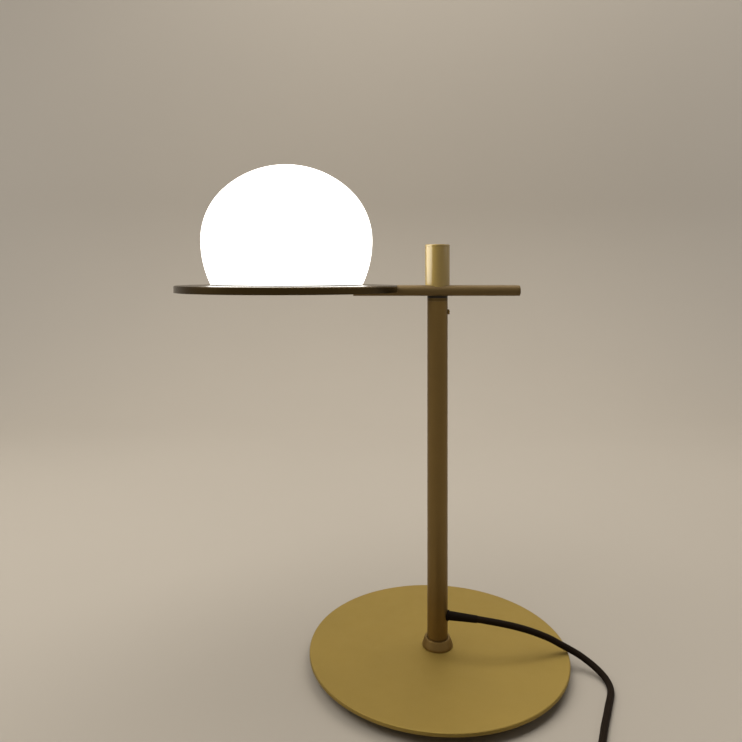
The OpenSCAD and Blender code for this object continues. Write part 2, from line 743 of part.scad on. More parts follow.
module board_screw_places() translate([saucer_x, 0, 0])
    on_circle(board_screw_n, board_screw_r, board_screw_turn) children();

module clip_places(r) translate([saucer_x, 0, 0]) on_circle(clip_n, r, clip_turn) children();

// A disc of the light source with its lead hole and screw holes
module board_disc(z, t) difference() {
    translate([saucer_x, 0, z]) cylinder(d = board_d, h = t);
    translate([saucer_x, 0, z - past]) cylinder(d = lead_hole_d, h = t + 2 * past);
    translate([0, 0, z - past]) board_screw_places() cylinder(d = screw_d + 2 * bond_gap, h = t + 2 * past);
}

module led_pad() color("#9aa0a6") board_disc(arm_top, heat_pad_t);

module led_board() color("#f1f0ea") board_disc(board_z, board_t);

module led_chips() color("#ffd84d") translate([saucer_x, 0, board_top]) {
    on_circle(chip_inner_n, chip_inner_r) light_chip();
    on_circle(chip_outer_n, chip_outer_r) light_chip();
}

module light_chip() translate([-chip_w / 2, -chip_w / 2, 0]) cube([chip_w, chip_w, chip_h]);

module led_screws() color("#b9bbbe") board_screw_places()
    translate([0, 0, board_top])
        pan_screw(screw_d, screw_head_d, screw_head_h, board_t + heat_pad_t + saucer_wall);

module lead_terminal() color("#e9e7df")
    translate([saucer_x - terminal_l / 2, -terminal_w / 2, board_top])
        cube([terminal_l, terminal_w, terminal_h]);

module globe_gasket() color("#d9d6cf") translate([saucer_x, 0, arm_top]) rotate_extrude()
    translate([lip_r, 0]) square([lip_t, gasket_t]);

// A sprung strip: a foot on the saucer, and a leaf that bulges out against the globe's ring
module globe_clips() color("#c9ccd0") clip_places(clip_r) difference() {
    translate([0, clip_w / 2, arm_top]) rotate([90, 0, 0]) linear_extrude(clip_w) polygon([
        [-clip_foot, 0], [-clip_bulge, 0], [0, clip_h / 2], [-clip_bulge, clip_h],
        [-clip_bulge - clip_t, clip_h], [-clip_t, clip_h / 2], [-clip_bulge - clip_t, clip_t],
        [-clip_foot, clip_t]]);
    translate([clip_screw_r - clip_r, 0, arm_top - past])
        cylinder(d = screw_d + 2 * bond_gap, h = clip_t + 2 * past);
}

module clip_screws() color("#b9bbbe") clip_places(clip_screw_r)
    translate([0, 0, arm_top + clip_t])
        pan_screw(screw_d, screw_head_d, screw_head_h, clip_t + saucer_wall);

module globe_ring() color("#c9ccd0") translate([saucer_x, 0, mouth_z]) rotate_extrude()
    translate([ring_r - ring_t, 0]) square([ring_t, lip_h]);

// Half section of the globe, its widest place at height 0, drawn in by an inset
module globe_section(inset) {
    reach = 2 * globe_r;
    lean = unit([globe_shoulder, -crown_z]);
    joint = [0, crown_z] + reach * lean;
    intersection() {
        translate([under_x, 0]) circle(globe_under_r - inset);
        translate([0, -reach]) square(reach);
    }
    intersection() {
        translate([globe_shoulder, 0]) circle(shoulder_r - inset);
        polygon([[globe_shoulder, 0], [reach, 0], [reach, joint[1]], joint]);
    }
    intersection() {
        translate([0, crown_z]) circle(crown_r - inset);
        polygon([[0, crown_z], joint, [0, joint[1]]]);
    }
}

module globe() color("#fffdf6") translate([saucer_x, 0, globe_z]) rotate_extrude() difference() {
    globe_section(0);
    difference() {
        globe_section(globe_wall);
        translate([0, -globe_under_r]) square([globe_r, globe_under_r - globe_drop + lip_h]);
    }
    translate([-past, -globe_under_r]) square([lip_r + past, globe_under_r - globe_drop + lip_h]);
    translate([-past, -globe_under_r - past])
        square([globe_r + 2 * past, globe_under_r + past - globe_drop]);
}

// Half of the switch's housing: straight in the middle, round at both ends, its split face at z = 0
module switch_half() {
    half_straight = (switch_l - switch_w) / 2;
    along_x(-half_straight, half_straight) {
        edged_section(switch_w / 2, switch_half_h, switch_edge_r);
        mirror([1, 0]) edged_section(switch_w / 2, switch_half_h, switch_edge_r);
    }
    for (side = [-1, 1]) translate([side * half_straight, 0, 0]) rotate([0, 0, -side * 90])
        rotate_extrude(angle = 180) edged_section(switch_w / 2, switch_half_h, switch_edge_r);
}

module at_switch() translate([switch_x, switch_y, switch_z]) children();

module switch_cord_holes() for (side = [-1, 1])
    translate([side * switch_l / 2, 0, 0]) rotate([0, -side * 90, 0])
        translate([0, 0, -past]) cylinder(d = cord_d + 2 * bond_gap, h = switch_bite + past);

module switch_screw_places() for (side = [-1, 1])
    translate([side * switch_screw_x, side * switch_screw_y, 0]) children();

module switch_base() color("#1f1d1b") at_switch() difference() {
    rotate([180, 0, 0]) switch_half();
    switch_cord_holes();
    translate([-switch_cavity[0] / 2, -switch_cavity[1] / 2, -switch_cavity[2]])
        cube([switch_cavity[0], switch_cavity[1], switch_cavity[2] + past]);
    switch_screw_places() {
        translate([0, 0, -switch_half_h - past])
            cylinder(d = switch_screw_head_d + 2 * slack, h = switch_screw_head_h + past);
        translate([0, 0, -switch_half_h - past])
            cylinder(d = switch_screw_d + 2 * slack, h = switch_half_h + 2 * past);
    }
}

module switch_cover() color("#1f1d1b") at_switch() difference() {
    switch_half();
    switch_cord_holes();
    translate([-rocker_pocket_l / 2, -rocker_w / 2 - slack, -past])
        cube([rocker_pocket_l, rocker_w + 2 * slack, switch_half_h + 2 * past]);
    translate([0, 0, rocker_z - switch_z]) rotate([90, 0, 0])
        cylinder(d = rocker_pin_d + 2 * turn_gap, h = rocker_pin_l + 2 * slack, center = true);
    switch_screw_places()
        translate([0, 0, -past]) cylinder(d = switch_screw_d + 2 * bond_gap, h = switch_half_h / 2 + past);
}

module switch_rocker() color("#2a2826")
    translate([switch_x, switch_y, rocker_z]) rotate([0, rocker_tip, 0]) {
        translate([0, rocker_w / 2, 0]) rotate([90, 0, 0]) linear_extrude(rocker_w) polygon([
            [-rocker_l / 2, rocker_up], [0, rocker_dip], [rocker_l / 2, rocker_up], [rocker_l / 2, 0],
            [rocker_foot, -rocker_down], [-rocker_foot, -rocker_down], [-rocker_l / 2, 0]]);
        rotate([90, 0, 0]) cylinder(d = rocker_pin_d, h = rocker_pin_l, center = true);
    }

module switch_contact() color("#c08a3e") at_switch() translate([0, 0, -switch_cavity[2]]) {
    translate([-switch_cavity[0] / 2 + slack, -contact_w / 2, 0])
        cube([switch_cavity[0] - 2 * slack, contact_w, contact_t]);
    for (side = [-1, 1]) translate([side * contact_block_x, 0, contact_block_h / 2])
        cube([contact_w, contact_w, contact_block_h], center = true);
}

module switch_screws() color("#8e9094") at_switch() switch_screw_places()
    translate([0, 0, -switch_half_h + switch_screw_head_h]) rotate([180, 0, 0])
        pan_screw(switch_screw_d, switch_screw_head_d, switch_screw_head_h,
            switch_half_h - switch_screw_head_h + switch_half_h / 2 - slack);

module cord_run() color("#1b130d") swept_tube(run_points, cord_d, cord_sides);

module cord_link() color("#1b130d") swept_tube(link_points, cord_d, cord_sides);

module cord_coil() color("#1b130d") swept_tube(coil_path, cord_d, coil_sides);

module cord_tail() color("#1b130d") swept_tube(tail_points, cord_d, cord_sides);

// A strap round the coil's turns
module cord_tie() color("#0f0f10") translate([coil_x, coil_y, 0]) rotate([90, 0, 0])
    translate([0, 0, -tie_w / 2]) linear_extrude(tie_w) difference() {
        translate([tie_r_in - tie_t, 0])
            square([tie_r_out - tie_r_in + 2 * tie_t, tie_inner_h + 2 * tie_t]);
        translate([tie_r_in, tie_t]) square([tie_r_out - tie_r_in, tie_inner_h]);
    }

// Children drawn along X from the plug's cord end, set in the plug's place
module at_plug() translate(plug_at) rotate([0, 0, coil_turn]) children();

module plug_sleeve() color("#171717") at_plug() rotate([0, 90, 0]) difference() {
    union() {
        cylinder(d1 = sleeve_thin_d, d2 = sleeve_thick_d, h = cord_sleeve_l);
        for (i = [1:sleeve_rib_n]) translate([0, 0, i * cord_sleeve_l / (sleeve_rib_n + 1)])
            cylinder(d = sleeve_thick_d, h = sleeve_rib_w);
    }
    translate([0, 0, -past]) cylinder(d = cord_d + 2 * bond_gap, h = sleeve_grip + past);
}

module plug_body() color("#171717") at_plug() difference() {
    translate([cord_sleeve_l, 0, -plug_t / 2]) linear_extrude(plug_t) polygon([
        [0, -body_neck_w / 2], [body_taper_l, -plug_w / 2], [plug_l - body_chamfer, -plug_w / 2],
        [plug_l, -plug_w / 2 + body_chamfer], [plug_l, plug_w / 2 - body_chamfer],
        [plug_l - body_chamfer, plug_w / 2], [body_taper_l, plug_w / 2], [0, body_neck_w / 2]]);
    plug_pin_places() cylinder(d = pin_d + 2 * bond_gap, h = pin_root + past);
}

module plug_pin_places() for (side = [-1, 1])
    translate([cord_sleeve_l + plug_l - pin_root, side * pin_gap / 2, 0]) rotate([0, 90, 0]) children();

module plug_pins() color("#c9a54a") at_plug() plug_pin_places() {
    cylinder(d = pin_d, h = pin_root + pin_l - pin_d / 2);
    translate([0, 0, pin_root + pin_l - pin_d / 2]) sphere(d = pin_d);
}

base_plate();
ballast();
foot_pad();
ballast_screws();
post_bolt();
bolt_washer();
foot_plug();
foot_collar();
post_tube();
cord_grommet();
cord_anchor();
post_lead();
swivel_bush();
swivel_washer();
stop_screw();
spindle();
arm_sleeve();
arm_tube();
arm_end_cap();
arm_tongue();
tongue_screws();
arm_lead();
head();
head_cap();
saucer();
led_pad();
led_board();
led_chips();
led_screws();
lead_terminal();
globe_gasket();
globe_clips();
clip_screws();
globe_ring();
globe();
switch_base();
switch_cover();
switch_rocker();
switch_contact();
switch_screws();
cord_run();
cord_link();
cord_coil();
cord_tail();
cord_tie();
plug_sleeve();
plug_body();
plug_pins();
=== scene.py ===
"""Looks for a table lamp with a swing arm and an opal globe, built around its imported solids.

The file is laid out as an add-on and run as a script. Lengths are metres in the solids' own frame;
sizes that come from the lamp's drawing are written in millimetres and multiplied by MM.
"""

import json
import math

import bmesh
import bpy
from bpy.props import FloatProperty, FloatVectorProperty, IntProperty, PointerProperty
from mathutils import Matrix, Vector


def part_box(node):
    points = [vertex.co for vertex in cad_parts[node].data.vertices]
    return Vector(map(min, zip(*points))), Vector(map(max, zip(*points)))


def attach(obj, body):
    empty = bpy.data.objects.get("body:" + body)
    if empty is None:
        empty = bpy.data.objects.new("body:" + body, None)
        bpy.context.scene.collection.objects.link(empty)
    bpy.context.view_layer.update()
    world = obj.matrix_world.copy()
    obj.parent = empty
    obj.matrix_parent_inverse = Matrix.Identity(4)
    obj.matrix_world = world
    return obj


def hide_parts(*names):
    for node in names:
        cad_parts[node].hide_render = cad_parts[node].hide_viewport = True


bl_info = {
    "name": "Swing-arm table lamp",
    "version": (1, 0, 0),
    "blender": (4, 5, 0),
    "location": "3D View > Sidebar > Lamp",
    "description": "Dresses the solids of a table lamp with a swing arm and an opal globe",
    "category": "Add Mesh",
}

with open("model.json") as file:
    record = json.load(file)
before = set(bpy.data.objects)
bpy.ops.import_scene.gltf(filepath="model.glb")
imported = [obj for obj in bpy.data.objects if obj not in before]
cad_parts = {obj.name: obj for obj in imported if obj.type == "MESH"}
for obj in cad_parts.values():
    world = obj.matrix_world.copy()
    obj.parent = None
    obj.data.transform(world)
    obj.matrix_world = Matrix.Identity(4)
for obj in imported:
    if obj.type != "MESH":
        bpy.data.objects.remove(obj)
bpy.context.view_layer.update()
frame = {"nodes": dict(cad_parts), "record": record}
MM = 0.001

# Places and sizes of the lamp's drawing, in millimetres, with angles in degrees
BASE_R = 122.0
BASE_TOP = 12.0
POST_R = 9.75
EXIT_Z = 41.5
EXIT_TURN = -15.0
RELIEF_L = 28.0
RELIEF_CLEAR = 1.5
LEAD_INSIDE = 2.5
STOP_Z = 331.0
STOP_KEY = 2.5
SAUCER_AT = (-143.5, 0.0)
ARM_TOP = 356.5
CLIP_TOP = 357.3
BOARD_TOP = 358.9
CHIP_SIDE = 3.5
CHIP_CORNER = 0.5
SWITCH_AT = (0.335 * BASE_R, -1.246 * BASE_R, 9.0)
SWITCH_L = 62.0
SWITCH_BITE = 9.0
PLUG_SLEEVE_L = 24.0
PLUG_L = 36.0
PLUG_T = 13.6
PLUG_W = 35.0
PLUG_POWER = 3.8
PLUG_BITE = 8.0
PIN_APART = 19.0
PIN_BITE = 6.0
PIN_SHEATH = 15.05
TAIL_L = 30.0
TIE_T = 1.2
TIE_CORNER = 3.4
TIE_EDGE = 0.25
CORD_D = 6.0
CORD_STRAIGHT = 6.0
RIM_GAP = 0.1

# Ripples of the plug's grip: how many, where they start, and their length, depth and share of it on the flat
RIPPLES = 7
RIPPLE_FROM = 15.0
RIPPLE_L = 2.0
RIPPLE_DEPTH = 0.45
RIPPLE_FLAT = 0.3

# Screws: the thread, and the head's diameter and height
METAL_SCREW = (3.0, 5.4, 1.8)
SWITCH_SCREW = (2.5, 4.4, 2.0)
SWITCH_SCREW_Z = 2.0

# What is set out round the saucer's centre: how many, their radius and the first one's angle in degrees
INNER_CHIPS = (8, 16.0, 0)
OUTER_CHIPS = (16, 34.0, 0)
BOARD_SCREWS = (3, 25.0, 30)
CLIP_SCREWS = (3, 57.83, 90)

# What is set out one by one: along and across from a centre, and the turn in radians
TONGUE_SCREWS = ((49.0, 5.5, 0.4), (-49.0, 0.0, 1.1))
SWITCH_SCREWS = ((-18.0, -8.3, -0.5), (18.0, 8.3, 0.5))

# Sides of the round meshes, and steps of the curved ones
SCREW_SIDES = 48
CHIP_SIDES = 24
PIN_SIDES = 32
GRIP_SIDES = 64
CORD_SIDES = 16
SLEEVE_SIDES = 40
BEAD_SIDES = 10
SLEEVE_STEPS = 8
RIPPLE_STEPS = 4
TIE_STEPS = 6
SWEEP_STEPS = 16

# Route of the cord: shares of the base's radius, with shares of the height between two levels
HANG = [
    (0.369, -0.095, 0.981), (0.451, -0.105, 0.936), (0.533, -0.109, 0.867), (0.615, -0.11, 0.777),
    (0.697, -0.108, 0.663), (0.779, -0.106, 0.523), (0.861, -0.103, 0.356), (0.943, -0.102, 0.148),
    (1.005, -0.107, 0),
]
FALL = [
    (1.066, -0.131, 0.736), (1.123, -0.178, 0.488), (1.172, -0.242, 0.264), (1.202, -0.316, 0.1),
    (1.207, -0.393, 0.02), (1.19, -0.471, 0), (1.157, -0.545, 0), (1.12, -0.619, 0), (1.085, -0.693, 0),
    (1.049, -0.766, 0), (1.011, -0.844, 0), (0.974, -0.926, 0),
]
RISE = [
    (0.939, -1, 0.03), (0.896, -1.074, 0.17), (0.844, -1.143, 0.43), (0.779, -1.202, 0.73),
    (0.705, -1.237, 0.95),
]
# From the switch down to the coil: shares of the way, with shares of the drop
DIP = [(0.3, 0.25), (0.6, 0.8), (0.85, 1.0)]
ROUTE_STEP = 1.5
CORD_STEP = 1.8

# The coil's sizes in millimetres and its angles in degrees
COIL_R = 24.0
COIL_PITCH = 6.6
COIL_Z = 4.5
COIL_LAYER = 6.5
COIL_START, COIL_MID, COIL_END = 90, 1260, 2460
COIL_CLIMB = 90
COIL_STEP = 10
COIL_APART = 35.0
COIL_AT = (
    SWITCH_AT[0] - SWITCH_L / 2 - COIL_APART,
    SWITCH_AT[1] - COIL_R - COIL_PITCH * (COIL_MID - COIL_START) / 360)

# Finishing of a mesh: the gap that is merged, in metres, and angles in degrees
MERGE_GAP = 2e-6
FLAT_ANGLE = 0.2
BREAK_ANGLE = 40.0
SHARP_ANGLE = 32.0
MOULDED_ANGLE = 50.0
STRAP_ANGLE = 40.0
SWEEP_ANGLE = 60.0


class LampSizes(bpy.types.PropertyGroup):
    """Sizes of the cord's braid and the camera's lens."""

    cord_diameter: FloatProperty(
        name="Cord diameter", description="Outside of the braided cord", default=CORD_D * MM, unit="LENGTH")
    braid_lay: FloatProperty(
        name="Braid lay", description="Length of one turn of a strand", default=0.019, unit="LENGTH")
    braid_strands: IntProperty(
        name="Braid strands", description="Strands that run each way round the cord", default=8,
        min=4, max=16)
    lens: FloatProperty(
        name="Lens", description="Focal length for a 36 mm sensor", default=31.85, min=10, unit="CAMERA")


def colour_choice(name, description, default):
    """A colour that can be set in the sidebar."""
    return FloatVectorProperty(
        name=name, description=description, subtype="COLOR", default=default, min=0, max=1)


class LampFinishes(bpy.types.PropertyGroup):
    """Colours of the lamp's finishes."""

    gold: colour_choice("Gold", "Satin gold of the base", (0.365, 0.260, 0.063))
    # The head's colour is partly painted light from the globe.
    head: colour_choice("Head", "Lacquered gold of the head", (0.400, 0.272, 0.042))
    bronze: colour_choice("Bronze", "Brown gold of the post, arm and saucer", (0.225, 0.147, 0.048))
    glow: colour_choice("Glow", "Light of the opal globe", (1.0, 0.985, 0.95))
    glow_strength: FloatProperty(
        name="Glow strength", description="How bright the lit globe is", default=3.4, min=0, max=20)
    braid: colour_choice("Braid", "Textile of the cord", (0.0115, 0.0064, 0.003))
    black: colour_choice("Black", "Moulded plastic of the switch and the plug", (0.014, 0.013, 0.012))
    backdrop: colour_choice("Backdrop", "Floor and backdrop", (0.52, 0.48, 0.42))


# The pale room round the lamp: its tone, how much it lights and how bright it shows
ROOM_TONE = (1.0, 0.89, 0.75, 1)
ROOM_LIGHT = 0.1
ROOM_SHOWN = 0.42

# Where the floor fades into the room, in metres from the post
FADE_FROM = 1.3
FADE_TO = 2.6

# The sweep in metres: its front edge, where it starts to rise, the rise's radius, its top and half width
SWEEP_FRONT = -5.0
SWEEP_RISE = 0.9
SWEEP_BEND = 0.6
SWEEP_TOP = 3.0
SWEEP_HALF = 12.0

# The lights: name, place, aim and size in metres, and watts
LIGHTS = (
    ("top", (-0.2, 0.45, 1.9), (-0.1, 0.3, 0), (4.4, 2.0), 63),
    ("left", (-1.5, -0.3, 0.9), (0, 0, 0.2), (1.0, 1.0), 2.5),
    ("right", (1.5, -0.3, 0.9), (0, 0, 0.2), (1.0, 1.0), 1.5),
)
LIGHT_TINT = (1.0, 0.95, 0.88)

# The camera: its place and nearest sight in metres, its shift in widths, its sensor in millimetres
CAMERA_AT = (-0.0637, -0.629, 0.366)
CAMERA_SHIFT = -0.129
CAMERA_SENSOR = 36
CAMERA_NEAR = 0.01

# Sockets of a mix node that mixes colours
COLOUR_A, COLOUR_B, COLOUR_OUT = 6, 7, 2


class Graph:
    """Short calls that add nodes to a node tree."""

    def __init__(self, tree):
        self.tree = tree

    def feed(self, socket, value):
        """Links an output, or a node's first one, to a socket, or gives the socket a plain value."""
        if isinstance(value, bpy.types.Node):
            value = value.outputs[0]
        if isinstance(value, bpy.types.NodeSocket):
            self.tree.links.new(value, socket)
        else:
            socket.default_value = value

    def add(self, kind, inputs=None, **settings):
        made = self.tree.nodes.new(kind)
        for key, value in settings.items():
            setattr(made, key, value)
        for key, value in (inputs or {}).items():
            self.feed(made.inputs[key], value)
        return made

    def math(self, operation, a, b=0.0):
        return self.add("ShaderNodeMath", {0: a, 1: b}, operation=operation)

    def length(self, vector):
        return self.add("ShaderNodeVectorMath", {0: vector}, operation="LENGTH").outputs["Value"]

    def seen(self):
        """1 for rays that show a surface: straight to the camera, in a gloss or through glass."""
        ray = self.add("ShaderNodeLightPath").outputs
        return self.math("MAXIMUM", ray["Is Camera Ray"], self.math(
            "MAXIMUM", ray["Is Glossy Ray"], ray["Is Transmission Ray"]))


FINISHES = {}


class Finish(Graph):
    """A procedural material in the making, kept in FINISHES by its slot."""

    def __init__(self, slot, **constants):
        material = FINISHES[slot] = bpy.data.materials.new(slot.replace("_", " "))
        material.use_nodes = True
        super().__init__(material.node_tree)
        self.shader = self.tree.nodes["Principled BSDF"]
        for key, value in constants.items():
            self.put(key.replace("_", " "), value)
        self.place = self.add("ShaderNodeTexCoord").outputs["Object"]

    def stretched(self, scale):
        return self.add("ShaderNodeMapping", {"Vector": self.place, "Scale": scale})

    def attribute(self, name, output="Fac"):
        return self.add("ShaderNodeAttribute", attribute_name=name).outputs[output]

    def parted(self, vector):
        return self.add("ShaderNodeSeparateXYZ", {0: vector}).outputs

    def noise(self, scale, detail=3.0, where=None):
        return self.add("ShaderNodeTexNoise", {
            "Vector": where or self.place, "Scale": scale, "Detail": detail})

    def ranged(self, value, low, high, start=0.3, end=0.7):
        return self.add("ShaderNodeMapRange", {
            "Value": value, "From Min": start, "From Max": end, "To Min": low, "To Max": high})

    def between(self, share, a, b):
        return self.add("ShaderNodeMix", {0: share, 2: a, 3: b}, data_type="FLOAT")

    def blended(self, share, a, b):
        inputs = {0: share, COLOUR_A: a, COLOUR_B: b}
        return self.add("ShaderNodeMix", inputs, data_type="RGBA").outputs[COLOUR_OUT]

    def put(self, name, value):
        self.feed(self.shader.inputs[name], value)

    def colour(self, value):
        self.put("Base Color", value)

    def shades(self, pattern, colour, low, high):
        """Shades of a colour, from low to high by a pattern."""
        return self.blended(self.ranged(pattern, 0, 1), shade(colour, low), shade(colour, high))

    def ribs(self, measure, rate):
        """Rounded ribs along a measure, at a rate in radians."""
        return self.math("ABSOLUTE", self.math("SINE", self.math("MULTIPLY", measure, rate)))

    def roughness(self, pattern, low, high, start=0.3, end=0.7):
        self.put("Roughness", self.ranged(pattern, low, high, start, end))

    def relief(self, height, depth):
        self.put("Normal", self.add("ShaderNodeBump", {
            "Height": height, "Distance": depth, "Strength": 1.0}))


def shade(colour, share):
    """A colour made lighter or darker, with full alpha."""
    return (*[min(1.0, c * share) for c in colour[:3]], 1.0)


def satin_metal(slot, colour, metallic, rough, grain=0.00002, spread=0.07, **constants):
    """Metal with a fine satin grain, faint clouds of tone and uneven sheen."""
    made = Finish(slot, Metallic=metallic, **constants)
    speck = made.noise(1400, 2)
    tone = made.shades(made.noise(24, 4), colour, 1 - spread, 1 + spread)
    made.colour(made.blended(made.ranged(speck, 0, 0.16), tone, shade(colour, 0.6)))
    made.roughness(made.noise(70, 5), rough - 0.025, rough + 0.025)
    made.relief(speck, grain)


def turned_metal(slot, colour, rough, lines, **constants):
    """Bare metal with the fine lines that a tool leaves, stretched by lines."""
    made = Finish(slot, Metallic=1.0, **constants)
    streak = made.noise(1, 4, made.stretched(lines))
    made.colour(made.shades(streak, colour, 0.86, 1.1))
    made.roughness(made.noise(90, 3), rough - 0.06, rough + 0.08)
    made.relief(streak, 0.00002)


def moulded(slot, colour, rough, grain_scale, grain_depth, **constants):
    """Plastic or rubber with a moulded grain."""
    made = Finish(slot, **constants)
    grain = made.noise(grain_scale, 2)
    made.colour(made.shades(made.noise(40, 3), colour, 0.85, 1.2))
    made.roughness(grain, rough - 0.07, rough + 0.09)
    made.relief(grain, grain_depth)


def braided(slot, colour, strands):
    """Textile braid: strands that cross over and under, drawn along the cord's own attributes."""
    made = Finish(slot, Sheen_Weight=0.02, Sheen_Roughness=0.5, Specular_IOR_Level=0.08)
    outward = made.parted(made.attribute("round", "Vector"))
    angle = made.math("ARCTAN2", outward["Y"], outward["X"])
    around = made.math("MULTIPLY", angle, strands / math.tau)
    along = made.math("MULTIPLY", made.attribute("turns"), strands)
    one_way = made.math("ADD", around, along)
    other_way = made.math("SUBTRACT", around, along)
    over = made.math("PINGPONG", made.math(
        "ADD", made.math("FLOOR", one_way), made.math("FLOOR", other_way)), 1.0)
    yarns_in_strand = 3
    swells = []
    yarns = []
    for way in (one_way, other_way):
        offset = made.math("SUBTRACT", made.math("FRACT", way), 0.5)
        square = made.math("MULTIPLY", offset, offset)
        swells.append(made.math("SUBTRACT", 1.0, made.math("MULTIPLY", 4.0, square)))
        yarns.append(made.ribs(way, yarns_in_strand * math.pi))
    swell = made.between(over, *swells)
    yarn = made.between(over, *yarns)
    height = made.math("ADD", made.math("MULTIPLY", swell, 0.75), made.math("MULTIPLY", yarn, 0.25))
    # Darker in the hollows between the yarns and lighter on their crests: painted shade and painted
    # highlight.
    tone = made.blended(made.ranged(height, 0, 1, 0.1, 0.95), shade(colour, 0.35), shade(colour, 1.25))
    made.colour(made.blended(made.ranged(made.noise(160, 3), 0, 0.4), tone, shade(colour, 2.0)))
    made.roughness(yarn, 0.85, 0.68, 0.0, 1.0)
    made.relief(height, 0.0002)


def opal_glass(slot, glow, strength):
    """Opal glass that is lit from inside, with a faint cloudiness and a clear glaze."""
    made = Finish(
        slot, Roughness=0.22, Coat_Weight=0.4, Coat_Roughness=0.06, Emission_Strength=strength, IOR=1.5)
    cloud = made.noise(18, 3)
    made.colour(made.blended(made.ranged(cloud, 0, 1), (0.86, 0.85, 0.82, 1), (0.92, 0.91, 0.88, 1)))
    made.put("Emission Color", made.shades(cloud, glow, 0.96, 1.0))


def strap_cloth(slot, colour):
    """Woven strap: ribs across and along its own measures, with their rates in radians per metre."""
    made = Finish(slot, Sheen_Weight=0.3, Specular_IOR_Level=0.2)
    measure = made.parted(made.attribute("weave", "Vector"))
    height = made.math("MULTIPLY", made.ribs(measure["X"], 4200), made.ribs(measure["Y"], 5200))
    # Darker in the hollows of the weave and lighter on its ribs: painted shade and painted highlight.
    tone = made.blended(height, shade(colour, 0.5), shade(colour, 1.6))
    made.colour(made.blended(made.ranged(made.noise(200, 3), 0, 0.5), tone, shade(colour, 2.2)))
    made.roughness(height, 0.9, 0.75, 0, 1)
    made.relief(height, 0.0002)


def board_mask(slot):
    """White lacquer over a light board, with the faint rings of its copper tracks."""
    made = Finish(slot, Coat_Weight=0.3, Coat_Roughness=0.2)
    centred = made.add("ShaderNodeMapping", {
        "Vector": made.place, "Location": (-SAUCER_AT[0] * MM, 0, -ARM_TOP * MM)})
    radians_per_metre = 1400
    ring = made.math("SINE", made.math("MULTIPLY", made.length(centred), radians_per_metre))
    track = made.ranged(ring, 0, 1, 0.72, 0.86)
    made.colour(made.blended(track, (0.44, 0.44, 0.42, 1), (0.33, 0.33, 0.28, 1)))
    made.roughness(made.noise(120, 3), 0.3, 0.42)
    made.relief(made.math("ADD", track, made.math("MULTIPLY", made.noise(900, 2), 0.3)), 0.00004)


def chip_lens(slot):
    """White chip package with yellow phosphor in its well."""
    made = Finish(slot, Coat_Weight=0.2, Coat_Roughness=0.15)
    well = made.attribute("phosphor")
    grain = made.noise(2600, 2)
    yolk = made.blended(made.ranged(grain, 0, 1), (0.50, 0.30, 0.03, 1), (0.60, 0.42, 0.07, 1))
    made.colour(made.blended(well, (0.50, 0.49, 0.47, 1), yolk))
    made.roughness(grain, 0.35, 0.5)
    made.relief(grain, 0.00001)


def sheathed_pin(slot, metal, sheath_colour):
    """Nickel-plated pin whose root is sheathed in plastic."""
    made = Finish(slot)
    sheath = made.attribute("sheath")
    grain = made.noise(1500, 3)
    bright = made.shades(grain, metal, 0.9, 1.08)
    dull = made.shades(grain, sheath_colour, 0.85, 1.2)
    made.colour(made.blended(sheath, bright, dull))
    made.put("Metallic", made.math("SUBTRACT", 1.0, sheath))
    made.put("Roughness", made.math(
        "ADD", made.ranged(grain, 0.16, 0.26), made.math("MULTIPLY", sheath, 0.25)))
    made.relief(grain, 0.00001)


def paper_sweep(slot, colour):
    """Matt paper of the floor and backdrop, which fades into the room far from the lamp."""
    made = Finish(slot, Specular_IOR_Level=0.1)
    paper = made.shades(made.noise(1.5, 2), colour, 0.985, 1.015)
    far = made.length(made.stretched((1, 1, 0)))
    fade = made.ranged(far, 0, 1, FADE_FROM, FADE_TO)
    made.colour(made.blended(fade, paper, (0, 0, 0, 1)))
    made.put("Emission Color", ROOM_TONE)
    shown = made.math("MULTIPLY", made.seen(), ROOM_SHOWN)
    made.put("Emission Strength", made.math("MULTIPLY", fade, shown))
    made.roughness(made.noise(30, 2), 0.9, 0.97)


